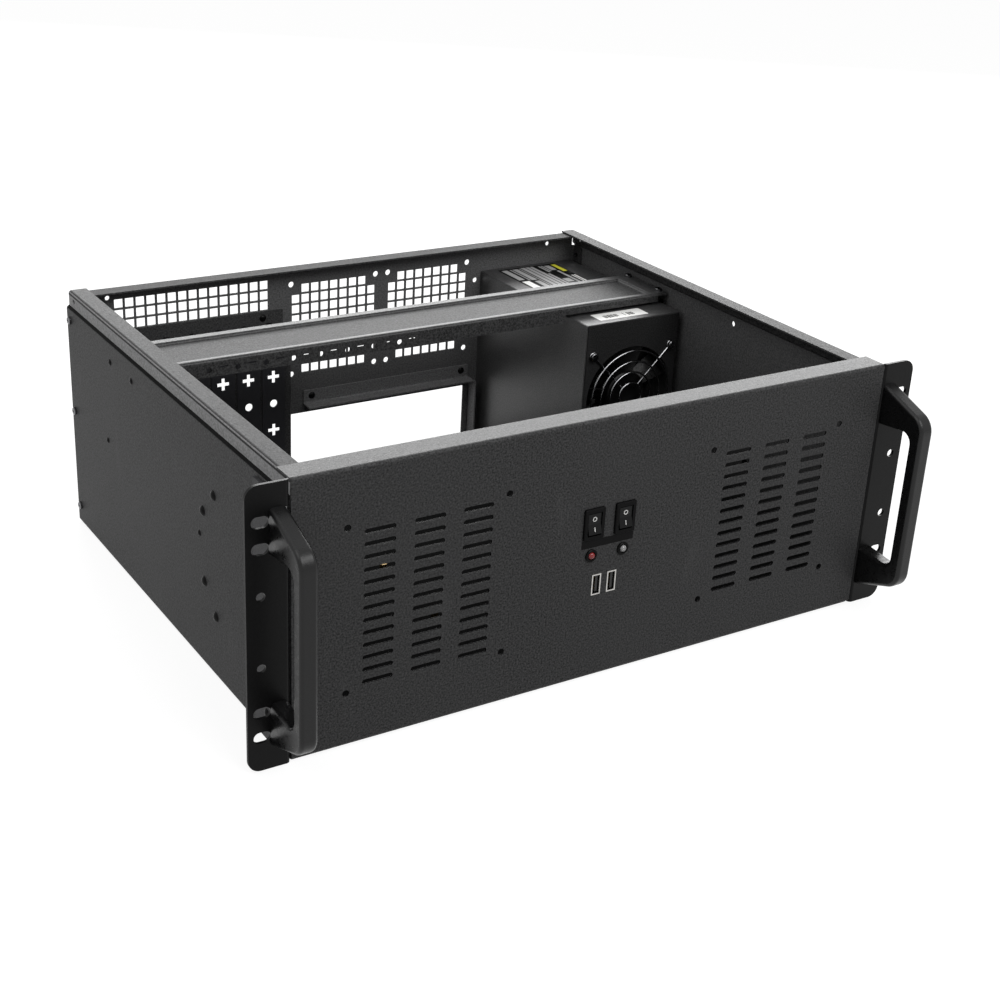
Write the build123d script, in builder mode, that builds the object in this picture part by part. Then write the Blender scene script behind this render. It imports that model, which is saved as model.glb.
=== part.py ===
"""An empty four unit rackmount case of folded sheet steel, open at the top, with its power supply.

X runs along the front from left to right, Y from the front face to the rear, Z up from the underside.
The origin is the middle of the underside. All lengths are in millimetres.
"""

from math import cos, radians, sin, tan
import os

from build123d import *

os.makedirs("parts", exist_ok=True)

# Case
rack_width = 482.6
ear_reach = 26.3
body_width = rack_width - 2 * ear_reach
case_depth = 360.0
rack_height = 177.0
sheet = 1.2
bend = 1.6
fit = 0.3
rivet_play = 0.1
rail_joggle = 2.0
rail_lip = 12.0
rail_depth = 13.0
joggle_level = rack_height - rail_depth
joggle_rise = 1.2
hem = 12.0

# Rack ears and handles
ear_sheet = 2.0
ear_bend = 1.5
ear_leg = 44.0
ear_rivet_set_back = 16.0
ear_leg_top = joggle_level - 2.5
ear_corner = 8.0
rack_unit = 44.45
rack_hole_inset = 8.75
rack_hole_span = rack_width - 2 * rack_hole_inset
rack_slot_length = 10.5
rack_slot_width = 7.0
rack_round_radius = 2.75
handle_inset = 19.3
handle_span = rack_width - 2 * handle_inset
handle_width = 11.0
handle_reach = 38.5
handle_grip = 10.0
handle_spacing = 120.0
handle_foot = 28.0
handle_rounding = 2.5
handle_screw_radius = 2.0
handle_screw_depth = 11.0

# Front panel
panel_hem = 18.0
panel_foot = 15.0
vent_length = 20.0
vent_width = 3.2
vent_pitch = 8.0
vent_rows = 13
vent_columns = 3
vent_column_pitch = 32.0
vent_centre = 128.0
large_fan_pitch = 105.0
fan_hole_radius = 2.2

# Front controls
switch_level = 109.0
reset_place = -13.5
power_place = 9.6
lamp_level = 87.5
red_lamp_place = -13.7
clear_lamp_place = 10.0
socket_level = 66.5
socket_places = (-8.2, 3.2)
bezel_width = 15.0
bezel_length = 21.0
bezel_thickness = 1.8
switch_width = 12.8
switch_length = 18.8
switch_depth = 20.0
rocker_width = 9.4
rocker_length = 14.4
rocker_swing = 14.0
rocker_pivot_depth = 2.6
pin_radius = 0.8
pin_play = 0.05
cavity_depth = 6.5
terminal_width = 4.8
terminal_length = 7.0
lamp_radius = 2.5
holder_radius = 4.2
holder_neck = 3.4
holder_lip = 1.3
holder_depth = 7.0
socket_length = 12.5
socket_width = 5.1
socket_wall = 0.3
socket_depth = 14.0
socket_flare = 0.55

# Rear panel
rear_foot = 12.0
rear_hem = 14.0
rear_flange_drop = 14.0
rear_drop = rack_height - rear_flange_drop
square = 6.5
square_pitch = 8.0
grid_from_wall = 31.8
grid_from_grille = 54.0
grille_count = 9
grille_drop = 53.0
grille_level = rack_height - grille_drop
grille_from_port = 36.85
grille_spacing = 82.2
small_fan_pitch = 71.5
small_fan_hole_radius = 2.25
corner_hole_inset = 27.8
corner_hole_drop = 10.0
port_from_supply = 11.95
port_opening_width = 158.75
port_opening_height = 44.45
port_opening_level = 11.0
recess = 12.0

# Expansion slots
slot_pitch = 20.32
slot_from_port = 17.0
slot_from_wall = 16.8
slot_opening_width = 12.5
ledge_level = 131.0
ledge_leg = 11.0
cover_sheet = 0.9
cover_width = 18.4
cover_tongue = 10.2

# Crossbar
bar_below_top = 17.0
bar_top = rack_height - bar_below_top
bar_centre = 76.0
bar_width = 52.0
bar_drop = 12.0
bar_over_supply = 6.4
bracket_leg = 16.0
bracket_foot = 12.0
bar_front_rim = 4.0
bar_rear_rim = 7.0
bar_pan = 2.0
bar_end_gap = 2.3
bar_screw_pitch = 39.0
bar_hole_pitch = 20.32
bar_hole_start = 47.5
bar_hole_radius = 2.0

# Power supply
supply_width = 86.0
supply_headroom = 27.0
supply_height = rack_height - supply_headroom
supply_length = 150.0
supply_sheet = 1.0
supply_side_gap = 4.8
supply_screw_inset = 6.0
supply_vent_margin = 17.0
fan_side_room = 3.0
fan_below_top = 60.4
supply_fan_size = supply_width - 2 * fan_side_room
supply_fan_depth = 25.0
fan_hole_inset = 4.25
supply_fan_pitch = supply_fan_size - 2 * fan_hole_inset
fan_rim = 1.5
fan_bore = supply_fan_size / 2 - fan_rim
fan_blade_count = 7
fan_hub_radius = 17.0
fan_hole_clear = 1.8
guard_ring_step = 8.5
guard_ring_count = 4
guard_wire = 1.6
shaft_radius = 1.5
shaft_play = 0.05

# Board supports
board_hole_span = 281.94
board_middle_span = 124.46
board_depth_span = 227.33
board_rear_row_span = 154.94
standoff_height = 9.5
standoff_flats = 5.0
standoff_edge = 10.0

# Fasteners
rivet_tail = 0.5
rivet_tail_height = 1.2
ear_rivet_radius = 1.6
ear_rivet_head = 3.0
ear_rivet_crown = 1.4
side_rivet_radius = 2.0
side_rivet_head = 3.6
side_rivet_crown = 1.8
side_rivets_from_front = ((105.0, 43.0), (122.0, 59.8), (122.0, 107.4), (105.0, 124.2))
side_small_radius = 1.4
side_small_head = 2.2
side_small_crown = 1.1
side_smalls_from_front = ((128.0, 90.0), (287.0, 91.0))
bracket_rivet_radius = 1.4
bracket_rivet_head = 2.4
bracket_rivet_crown = 1.1
frame_rivet_radius = 1.5
frame_rivet_head = 2.8
frame_rivet_crown = 1.4
handle_screw_head = 4.0
handle_screw_crown = 2.5
rear_screw_radius = 1.5
rear_screw_head = 2.8
rear_screw_crown = 1.8
rear_screw_length = 4.0
slot_screw_radius = 1.5
slot_screw_head = 2.9
slot_screw_crown = 1.9
slot_screw_length = 5.0
bar_screw_radius = 1.5
bar_screw_head = 2.9
bar_screw_crown = 2.0
bar_screw_length = 4.2
supply_screw_radius = 1.6
supply_screw_head = 3.2
supply_screw_crown = 2.0
supply_screw_length = 6.0
guard_screw_radius = 1.7
guard_screw_head = 3.2
guard_screw_crown = 2.0
guard_screw_length = 12.0
cover_hole_radius = 1.7
cover_hole_drop = 7.0
side_hole_radius = 2.0
side_hole_drop = 19.0
side_hole_from_front = 153.0

front = -case_depth / 2
rear = case_depth / 2
middle_level = rack_height / 2
wall_outer = body_width / 2
wall_line = wall_outer - sheet / 2
wall_inner = wall_outer - sheet
rail_line = wall_line - rail_joggle
rail_inner = rail_line - sheet / 2
rail_top = rack_height - sheet
inside_bend = bend - sheet / 2
outside_bend = bend + sheet / 2
panel_back = front + sheet
chassis_front = panel_back + inside_bend + 0.2
rear_inside = rear - sheet


def face_at(x, y, z, direction):
    """A plane whose normal is the direction and whose own upright axis is Z."""
    across = Vector(0, 0, 1).cross(Vector(*direction))
    return Plane(origin=(x, y, z), x_dir=across, z_dir=direction)


def folded(plane, points, thickness=sheet, radius=bend):
    """The cut section of folded sheet: its middle line through the points, thickened."""
    with BuildSketch(plane) as section:
        with BuildLine():
            FilletPolyline(*points, radius=radius)
        trace(line_width=thickness)
    return section.sketch


def turned(profile):
    """A round piece about Z from a profile of (radius, height) corners."""
    with BuildPart() as piece:
        with BuildSketch(Plane.XZ):
            with BuildLine():
                Polyline(*profile, close=True)
            make_face()
        revolve(axis=Axis.Z)
    return piece.part


def rivet(head_radius, head_height, shank_radius, grip):
    """A rivet along Z with its domed head above zero and its set tail below the grip."""
    dome = (head_radius**2 + head_height**2) / (2 * head_height)
    tail_radius = shank_radius + rivet_tail
    with BuildPart() as piece:
        with BuildSketch(Plane.XZ):
            with BuildLine():
                crown = RadiusArc((head_radius, 0), (0, head_height), -dome)
                Polyline(
                    crown @ 1,
                    (0, -grip - rivet_tail_height),
                    (tail_radius, -grip - rivet_tail_height),
                    (tail_radius, -grip),
                    (shank_radius, -grip),
                    (shank_radius, 0),
                    crown @ 0,
                )
            make_face()
        revolve(axis=Axis.Z)
    return piece.part


def screw(head_radius, head_height, shank_radius, length):
    """A pan head screw along Z, its head above zero, with a cross recess."""
    crown_step = head_height * 0.3
    body = turned([
        (0, -length),
        (shank_radius, -length),
        (shank_radius, 0),
        (head_radius, 0),
        (head_radius, head_height - crown_step),
        (head_radius - crown_step, head_height),
        (0, head_height),
    ])
    with BuildPart() as piece:
        add(body)
        with BuildSketch(Plane.XY.offset(head_height)):
            Rectangle(head_radius * 1.2, head_radius * 0.28)
            Rectangle(head_radius * 0.28, head_radius * 1.2)
        extrude(amount=-head_height * 0.5, mode=Mode.SUBTRACT)
    return piece.part


def placed(piece, planes):
    """Copies of a piece, one on each plane, as separate solids."""
    with BuildPart() as group:
        with Locations(*planes):
            add(piece)
    return group.part


def finish(part, name):
    """Label a piece and write it."""
    part.label = name
    export_step(part, "parts/" + name + ".step")


# Places shared by several pieces
ear_rivet_low = 18.0
ear_rivet_high = ear_leg_top - 14.0
ear_rivet_levels = [ear_rivet_low + step * (ear_rivet_high - ear_rivet_low) / 3 for step in range(4)]
ear_rivet_depth = front + ear_leg - ear_rivet_set_back
side_rivet_places = [(front + depth, level) for depth, level in side_rivets_from_front]
side_small_places = [(front + depth, level) for depth, level in side_smalls_from_front]
side_hole_depth = front + side_hole_from_front
side_hole_level = rack_height - side_hole_drop
rear_screw_levels = (14.5, middle_level, rear_drop - 7.0)
rear_screw_depth = rear - 6.0
cover_hole_depth = rear - 10.0
cover_hole_level = rack_height - cover_hole_drop
bar_screw_lines = (bar_centre - bar_screw_pitch / 2, bar_centre + bar_screw_pitch / 2)
bracket_rivet_level = bar_top - 9.0
supply_right = wall_inner - supply_side_gap
supply_left = supply_right - supply_width
supply_middle = (supply_left + supply_right) / 2
supply_front = rear_inside - supply_length
supply_base = sheet
supply_top = supply_base + supply_height
supply_fan_level = supply_top - fan_below_top
supply_fan_corners = [
    (supply_middle + i * supply_fan_pitch / 2, supply_fan_level + j * supply_fan_pitch / 2)
    for i in (-1, 1)
    for j in (-1, 1)
]
port_opening_right = supply_left - port_from_supply
port_opening_left = port_opening_right - port_opening_width
grille_places = (
    port_opening_right - grille_from_port - grille_spacing,
    port_opening_right - grille_from_port,
)
first_slot = port_opening_left - slot_from_port
slot_count = 1 + int((first_slot + wall_inner - slot_from_wall) / slot_pitch)
slot_centres = [first_slot - k * slot_pitch for k in range(slot_count)]
port_opening_middle = (port_opening_left + port_opening_right) / 2
board_right = port_opening_right - 12.3
board_columns = [
    x
    for x in (board_right - board_hole_span, board_right - board_hole_span + board_middle_span, board_right)
    if x > standoff_edge - wall_inner
]
slot_face = rear_inside - recess
board_rear_row = slot_face - cover_sheet - 1.1 - 10.16
board_rows = (
    board_rear_row - board_depth_span,
    board_rear_row - board_rear_row_span,
    board_rear_row,
)
board_points = [(x, y) for x in board_columns for y in board_rows]
stud_radius = 1.45

# Chassis
rail_half = [
    (rail_line - rail_lip, rail_top - sheet / 2),
    (rail_line, rail_top - sheet / 2),
    (rail_line, joggle_level + joggle_rise),
    (wall_line, joggle_level),
    (wall_line, sheet / 2),
]
chassis_line = [(-x, z) for x, z in rail_half] + [(x, z) for x, z in reversed(rail_half)]
chassis_section = folded(Plane.XZ.offset(-chassis_front), chassis_line)
with BuildPart() as chassis:
    extrude(chassis_section, amount=chassis_front - rear)
    with BuildSketch(Plane.YZ):
        with Locations(*[(ear_rivet_depth, z) for z in ear_rivet_levels]):
            Circle(ear_rivet_radius + rivet_play)
        with Locations(*side_rivet_places):
            Circle(side_rivet_radius + rivet_play)
        with Locations(*side_small_places):
            Circle(side_small_radius + rivet_play)
        with Locations(*[(rear_screw_depth, z) for z in rear_screw_levels]):
            Circle(rear_screw_radius + rivet_play)
        with Locations(*[(y, bracket_rivet_level) for y in bar_screw_lines]):
            Circle(bracket_rivet_radius + rivet_play)
        with Locations((cover_hole_depth, cover_hole_level)):
            Circle(cover_hole_radius)
    extrude(amount=wall_outer + 1, both=True, mode=Mode.SUBTRACT)
    with BuildSketch(Plane.YZ.offset(wall_outer)):
        with Locations((side_hole_depth, side_hole_level)):
            Circle(side_hole_radius)
    extrude(amount=-sheet * 2, mode=Mode.SUBTRACT)
    with BuildSketch(Plane.XY):
        with Locations(*board_points):
            Circle(stud_radius + rivet_play)
    extrude(amount=sheet, mode=Mode.SUBTRACT)
finish(chassis.part, "chassis")

# Front panel
front_plane = face_at(0, front, 0, (0, -1, 0))
panel_section = folded(
    Plane.YZ,
    [
        (front + panel_hem, rack_height - sheet / 2),
        (front + sheet / 2, rack_height - sheet / 2),
        (front + sheet / 2, sheet * 1.5),
        (front + panel_foot, sheet * 1.5),
    ],
)
panel_foot_half = wall_inner - inside_bend - fit
vent_centres = (-vent_centre, vent_centre)
with BuildPart() as front_panel:
    extrude(panel_section, amount=wall_line, both=True)
    with BuildSketch(Plane.XY):
        with Locations((-wall_line, panel_back), (wall_line, panel_back)):
            Rectangle(2 * (wall_line - panel_foot_half), 2 * panel_foot, align=(Align.CENTER, Align.MIN))
    extrude(amount=joggle_level, mode=Mode.SUBTRACT)
    with BuildSketch(front_plane):
        for centre in vent_centres:
            with Locations((centre, middle_level)):
                with GridLocations(vent_column_pitch, vent_pitch, vent_columns, vent_rows):
                    SlotOverall(vent_length, vent_width)
                with GridLocations(large_fan_pitch, large_fan_pitch, 2, 2):
                    Circle(fan_hole_radius)
        with Locations((reset_place, switch_level), (power_place, switch_level)):
            Rectangle(switch_width + 2 * rivet_play, switch_length + 2 * rivet_play)
        with Locations((red_lamp_place, lamp_level), (clear_lamp_place, lamp_level)):
            Circle(holder_neck + rivet_play)
        with Locations(*[(x, socket_level) for x in socket_places]):
            Rectangle(socket_width + 2 * socket_wall + fit, socket_length + 2 * socket_wall + fit)
    extrude(amount=-sheet * 1.5, mode=Mode.SUBTRACT)
finish(front_panel.part, "front_panel")

# Rack ears
ear_front = face_at(0, front, 0, (0, -1, 0))
ear_back = front + ear_sheet
handle_screw_levels = (middle_level - handle_spacing / 2, middle_level + handle_spacing / 2)


def make_ear(side):
    """An angle bracket: a slotted face outside the case and a leg on the wall."""
    leg_line = wall_outer + ear_sheet / 2
    section = folded(
        Plane.XY,
        [
            (side * rack_width / 2, front + ear_sheet / 2),
            (side * leg_line, front + ear_sheet / 2),
            (side * leg_line, front + ear_leg),
        ],
        ear_sheet,
        ear_bend,
    )
    with BuildPart() as ear:
        extrude(section, amount=rack_height)
        ends = ear.edges().filter_by(Axis.Y).group_by(Axis.X)
        fillet(ends[-1] if side > 0 else ends[0], ear_corner)
        with BuildSketch(Plane.XY.offset(rack_height)):
            with Locations((side * wall_outer, ear_back)):
                Rectangle(4 * ear_sheet + 2 * ear_bend, 2 * ear_leg, align=(Align.CENTER, Align.MIN))
        extrude(amount=ear_leg_top - rack_height, mode=Mode.SUBTRACT)
        with BuildSketch(ear_front):
            with Locations((side * rack_hole_span / 2, middle_level)):
                with GridLocations(0, 3 * rack_unit, 1, 2):
                    SlotOverall(rack_slot_length, rack_slot_width)
                with GridLocations(0, 3 * rack_unit - 31.75, 1, 2):
                    SlotOverall(rack_slot_length, rack_slot_width)
                with GridLocations(0, rack_unit, 1, 2):
                    Circle(rack_round_radius)
            with Locations(*[(side * handle_span / 2, z) for z in handle_screw_levels]):
                Circle(handle_screw_radius + rivet_play)
        extrude(amount=-ear_sheet * 1.5, mode=Mode.SUBTRACT)
        with BuildSketch(Plane.YZ.offset(side * wall_outer)):
            with Locations(*[(ear_rivet_depth, z) for z in ear_rivet_levels]):
                Circle(ear_rivet_radius + rivet_play)
        extrude(amount=side * ear_sheet * 1.5, mode=Mode.SUBTRACT)
    return ear.part


finish(make_ear(-1), "rack_ear_left")
finish(make_ear(1), "rack_ear_right")


# Handles
def make_handle(side):
    """A bow handle: splayed legs, a straight grip and rounded long edges."""
    foot_out = handle_spacing / 2 + handle_foot / 2
    foot_in = handle_spacing / 2 - handle_foot / 2
    grip_out = foot_out - handle_reach * 0.37
    grip_in = foot_in + (handle_reach - handle_grip) * 0.112
    inner_reach = handle_reach - handle_grip
    with BuildPart() as handle:
        with BuildSketch(Plane.YZ.offset(side * handle_span / 2)):
            with BuildLine():
                outer = FilletPolyline(
                    (front, middle_level - foot_out),
                    (front - handle_reach, middle_level - grip_out),
                    (front - handle_reach, middle_level + grip_out),
                    (front, middle_level + foot_out),
                    radius=13.0,
                )
                inner = FilletPolyline(
                    (front, middle_level - foot_in),
                    (front - inner_reach, middle_level - grip_in),
                    (front - inner_reach, middle_level + grip_in),
                    (front, middle_level + foot_in),
                    radius=7.0,
                )
                Line(outer @ 0, inner @ 0)
                Line(outer @ 1, inner @ 1)
            make_face()
        extrude(amount=handle_width / 2, both=True)
        long_edges = handle.faces().filter_by(Axis.X).edges()
        fillet(long_edges.filter_by(lambda edge: edge.center().Y < front - 0.01), handle_rounding)
        with BuildSketch(ear_front):
            with Locations(*[(side * handle_span / 2, z) for z in handle_screw_levels]):
                Circle(handle_screw_radius + rivet_play)
        extrude(amount=handle_screw_depth + 1, mode=Mode.SUBTRACT)
    return handle.part


finish(make_handle(-1), "handle_left")
finish(make_handle(1), "handle_right")

handle_screw = screw(
    handle_screw_head, handle_screw_crown, handle_screw_radius, ear_sheet + handle_screw_depth
)
handle_screw_planes = [
    face_at(side * handle_span / 2, ear_back, z, (0, 1, 0)) for side in (-1, 1) for z in handle_screw_levels
]
finish(placed(handle_screw, handle_screw_planes), "handle_screws")

# Rivets through the side walls
ear_rivet = rivet(ear_rivet_head, ear_rivet_crown, ear_rivet_radius, ear_sheet + sheet)
ear_rivet_planes = [
    face_at(side * (wall_outer + ear_sheet), ear_rivet_depth, z, (side, 0, 0))
    for side in (-1, 1)
    for z in ear_rivet_levels
]
finish(placed(ear_rivet, ear_rivet_planes), "ear_rivets")

side_rivet = rivet(side_rivet_head, side_rivet_crown, side_rivet_radius, sheet)
side_small = rivet(side_small_head, side_small_crown, side_small_radius, sheet)
with BuildPart() as side_rivets:
    for side in (-1, 1):
        with Locations(*[face_at(side * wall_outer, y, z, (side, 0, 0)) for y, z in side_rivet_places]):
            add(side_rivet)
        with Locations(*[face_at(side * wall_outer, y, z, (side, 0, 0)) for y, z in side_small_places]):
            add(side_small)
finish(side_rivets.part, "side_rivets")

# Rear panel
rear_plane = face_at(0, rear, 0, (0, 1, 0))
rear_half = rail_inner - inside_bend - 0.2
hem_top = rail_top - sheet
side_flange_line = wall_inner - sheet / 2
upright_section = folded(
    Plane.YZ,
    [
        (rear - rear_hem, hem_top - sheet / 2),
        (rear - sheet / 2, hem_top - sheet / 2),
        (rear - sheet / 2, sheet * 1.5),
        (rear - rear_foot, sheet * 1.5),
    ],
)
level_section = folded(
    Plane.XY.offset(sheet + outside_bend),
    [
        (-side_flange_line, rear - hem),
        (-side_flange_line, rear - sheet / 2),
        (side_flange_line, rear - sheet / 2),
        (side_flange_line, rear - hem),
    ],
)
frame_right = first_slot + 15.5
frame_left = first_slot - (slot_count - 1) * slot_pitch - 14.0
slot_window_left = frame_left + sheet + inside_bend + 2.0
slot_window_right = frame_right - sheet - inside_bend - 0.5
slot_sill = 8.0
grid_half = square_pitch * (grille_count - 1) / 2
grille_squares = [
    (i * square_pitch - grid_half, j * square_pitch - grid_half)
    for i in range(grille_count)
    for j in range(grille_count)
    if i not in (0, grille_count - 1) or j not in (0, grille_count - 1)
]
grid_left = grid_from_wall - wall_inner
grid_columns = int((grille_places[0] - grid_from_grille - grid_left) / square_pitch + 0.01)
grid_centre = grid_left + grid_columns * square_pitch / 2
grid_foot = ledge_level + ledge_leg
grid_rows = int((hem_top - outside_bend - grid_foot) / square_pitch)
grid_level = grid_foot + grid_rows * square_pitch / 2
supply_window_margin = 6.0
supply_screw_places = [
    (
        supply_middle + i * (supply_width / 2 - supply_screw_inset),
        supply_base + supply_height / 2 + j * (supply_height / 2 - supply_screw_inset),
    )
    for i in (-1, 1)
    for j in (-1, 1)
]
slot_leg_rivets = [(frame_right - 18.5, ledge_level + 6.0), (frame_left + 14.0, ledge_level + 6.0)]
port_shelf = port_opening_level + port_opening_height + 6.55
port_leg_left = port_opening_left + 13.7
port_cheek = port_opening_right + 4.6
port_leg_rivets = [(port_leg_left + 7.0, port_shelf + 7.0), (port_cheek - 8.0, port_shelf + 7.0)]
corner_holes = [(side * (wall_inner - corner_hole_inset), rack_height - corner_hole_drop) for side in (-1, 1)]
with BuildPart() as rear_panel:
    extrude(upright_section, amount=rear_half, both=True)
    extrude(level_section, amount=rear_drop - sheet - outside_bend)
    with BuildSketch(Plane.XZ.offset(-rear - 1)):
        with Locations((grid_centre, grid_level)):
            with GridLocations(square_pitch, square_pitch, grid_columns, grid_rows):
                Rectangle(square, square)
        for centre in grille_places:
            with Locations((centre, grille_level)):
                with Locations(*grille_squares):
                    Rectangle(square, square)
                with GridLocations(small_fan_pitch, small_fan_pitch, 2, 2):
                    Circle(small_fan_hole_radius)
        with Locations((port_opening_left, port_opening_level)):
            Rectangle(port_opening_width, port_opening_height, align=(Align.MIN, Align.MIN))
        with Locations((slot_window_left, slot_sill)):
            Rectangle(
                slot_window_right - slot_window_left,
                ledge_level - slot_sill - sheet - inside_bend,
                align=(Align.MIN, Align.MIN),
            )
        with Locations((supply_middle, supply_base + supply_height / 2)):
            Rectangle(supply_width - 2 * supply_window_margin, supply_height - 24.0)
        with Locations(*supply_screw_places):
            Circle(supply_screw_radius + rivet_play)
        with Locations(*corner_holes):
            Circle(cover_hole_radius)
        with Locations((supply_left - 5.0, supply_top - cover_hole_drop)):
            Circle(side_hole_radius)
        with Locations(*slot_leg_rivets, *port_leg_rivets):
            Circle(frame_rivet_radius + rivet_play)
    extrude(amount=sheet + 2, mode=Mode.SUBTRACT)
    with BuildSketch(Plane.YZ):
        with Locations(*[(rear_screw_depth, z) for z in rear_screw_levels]):
            Circle(rear_screw_radius + rivet_play)
    extrude(amount=wall_outer, both=True, mode=Mode.SUBTRACT)
    with BuildSketch(Plane.XY):
        with Locations((supply_left - fit, rear_inside)):
            Rectangle(supply_width + 2 * fit, 2 * rear_foot, align=(Align.MIN, Align.MAX))
    extrude(amount=sheet + outside_bend, mode=Mode.SUBTRACT)
finish(rear_panel.part, "rear_panel")

rear_screw = screw(rear_screw_head, rear_screw_crown, rear_screw_radius, rear_screw_length)
rear_screw_planes = [
    face_at(side * wall_outer, rear_screw_depth, z, (side, 0, 0))
    for side in (-1, 1)
    for z in rear_screw_levels
]
finish(placed(rear_screw, rear_screw_planes), "rear_panel_screws")

# Slot frame
frame_plate = slot_face + sheet / 2
frame_foot = slot_sill - sheet
ledge_line = ledge_level - sheet / 2
upright_frame = folded(
    Plane.YZ.offset((frame_left + frame_right) / 2),
    [
        (rear_inside - sheet / 2, ledge_level + ledge_leg),
        (rear_inside - sheet / 2, ledge_line),
        (frame_plate, ledge_line),
        (frame_plate, frame_foot),
        (rear_inside, frame_foot),
    ],
)
cheek_frame = folded(
    Plane.XY.offset(frame_foot + outside_bend),
    [
        (frame_left + sheet / 2, rear_inside),
        (frame_left + sheet / 2, frame_plate),
        (frame_right - sheet / 2, frame_plate),
        (frame_right - sheet / 2, rear_inside),
    ],
)
slot_bottom = 18.0
slot_top = ledge_level - 9.0
tab_hole_depth = slot_face + 5.5
frame_half = (frame_right - frame_left) / 2
with BuildPart() as slot_frame:
    extrude(upright_frame, amount=frame_half - sheet - inside_bend, both=True)
    extrude(cheek_frame, amount=ledge_level - sheet - outside_bend - frame_foot - outside_bend)
    with BuildSketch(Plane.XZ.offset(-slot_face - sheet - 1)):
        with Locations(*[(x, (slot_bottom + slot_top) / 2) for x in slot_centres]):
            Rectangle(slot_opening_width, slot_top - slot_bottom)
    extrude(amount=sheet + 2, mode=Mode.SUBTRACT)
    with BuildSketch(Plane.XZ.offset(-rear_inside)):
        with Locations(*slot_leg_rivets):
            Circle(frame_rivet_radius + rivet_play)
    extrude(amount=sheet + 1, mode=Mode.SUBTRACT)
    with BuildSketch(Plane.XY.offset(ledge_level)):
        with Locations(*[(x, tab_hole_depth) for x in slot_centres]):
            Circle(slot_screw_radius + rivet_play)
    extrude(amount=-sheet * 2, mode=Mode.SUBTRACT)
finish(slot_frame.part, "slot_frame")

# Slot covers
cover_bottom = 6.0
cover_line = slot_face - cover_sheet / 2
cover_section = folded(
    Plane.YZ,
    [
        (cover_line, cover_bottom),
        (cover_line, ledge_level + cover_sheet / 2),
        (rear_inside - sheet - inside_bend - fit, ledge_level + cover_sheet / 2),
    ],
    cover_sheet,
    1.0,
)
cross_levels = (94.0, 51.0)
cross_arm = 9.4
cross_bar = 2.6
cover_round_level = 72.5
cover_round_radius = 3.0
with BuildPart() as slot_cover:
    extrude(cover_section, amount=cover_width / 2, both=True)
    with BuildSketch(Plane.XZ.offset(-slot_face - 1)):
        with Locations(*[(0, z) for z in cross_levels]):
            Rectangle(cross_arm, cross_bar)
            Rectangle(cross_bar, cross_arm)
        with Locations((0, cover_round_level)):
            Circle(cover_round_radius)
        with Locations((-cover_width / 2, cover_bottom), (cover_width / 2, cover_bottom)):
            Rectangle(cover_width - cover_tongue, 2 * (slot_bottom - cover_bottom))
    extrude(amount=cover_sheet + 2, mode=Mode.SUBTRACT)
    with BuildSketch(Plane.XY.offset(ledge_level)):
        with Locations((0, tab_hole_depth)):
            Circle(slot_screw_radius + rivet_play * 3)
    extrude(amount=cover_sheet * 2, mode=Mode.SUBTRACT)
for number, centre in enumerate(slot_centres, start=1):
    finish(slot_cover.part.moved(Location((centre, 0, 0))), f"slot_cover_{number}")

slot_screw = screw(slot_screw_head, slot_screw_crown, slot_screw_radius, slot_screw_length)
slot_screw_planes = [
    Plane.XY.offset(ledge_level + cover_sheet).move(Location((x, tab_hole_depth, 0)))
    for x in slot_centres
]
finish(placed(slot_screw, slot_screw_planes), "slot_screws")

# Frame beside and above the port opening
port_top_section = folded(
    Plane.YZ.offset(port_leg_left),
    [
        (rear_inside - sheet / 2, port_shelf + 11.5),
        (rear_inside - sheet / 2, port_shelf + sheet / 2),
        (rear_inside - recess, port_shelf + sheet / 2),
    ],
)
port_side_section = folded(
    Plane.XZ.offset(outside_bend - rear_inside),
    [
        (port_leg_left, port_shelf + sheet / 2),
        (port_cheek, port_shelf + sheet / 2),
        (port_cheek, port_opening_level + 1.0),
    ],
)
with BuildPart() as port_frame:
    extrude(port_top_section, amount=port_cheek - bend - port_leg_left)
    extrude(port_side_section, amount=recess - outside_bend)
    with BuildSketch(Plane.XZ.offset(-rear_inside)):
        with Locations(*port_leg_rivets):
            Circle(frame_rivet_radius + rivet_play)
    extrude(amount=sheet + 1, mode=Mode.SUBTRACT)
finish(port_frame.part, "port_frame")

frame_rivet = rivet(frame_rivet_head, frame_rivet_crown, frame_rivet_radius, 2 * sheet)
frame_rivet_planes = [
    face_at(x, rear_inside - sheet, z, (0, -1, 0)) for x, z in slot_leg_rivets + port_leg_rivets
]
finish(placed(frame_rivet, frame_rivet_planes), "frame_rivets")

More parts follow.
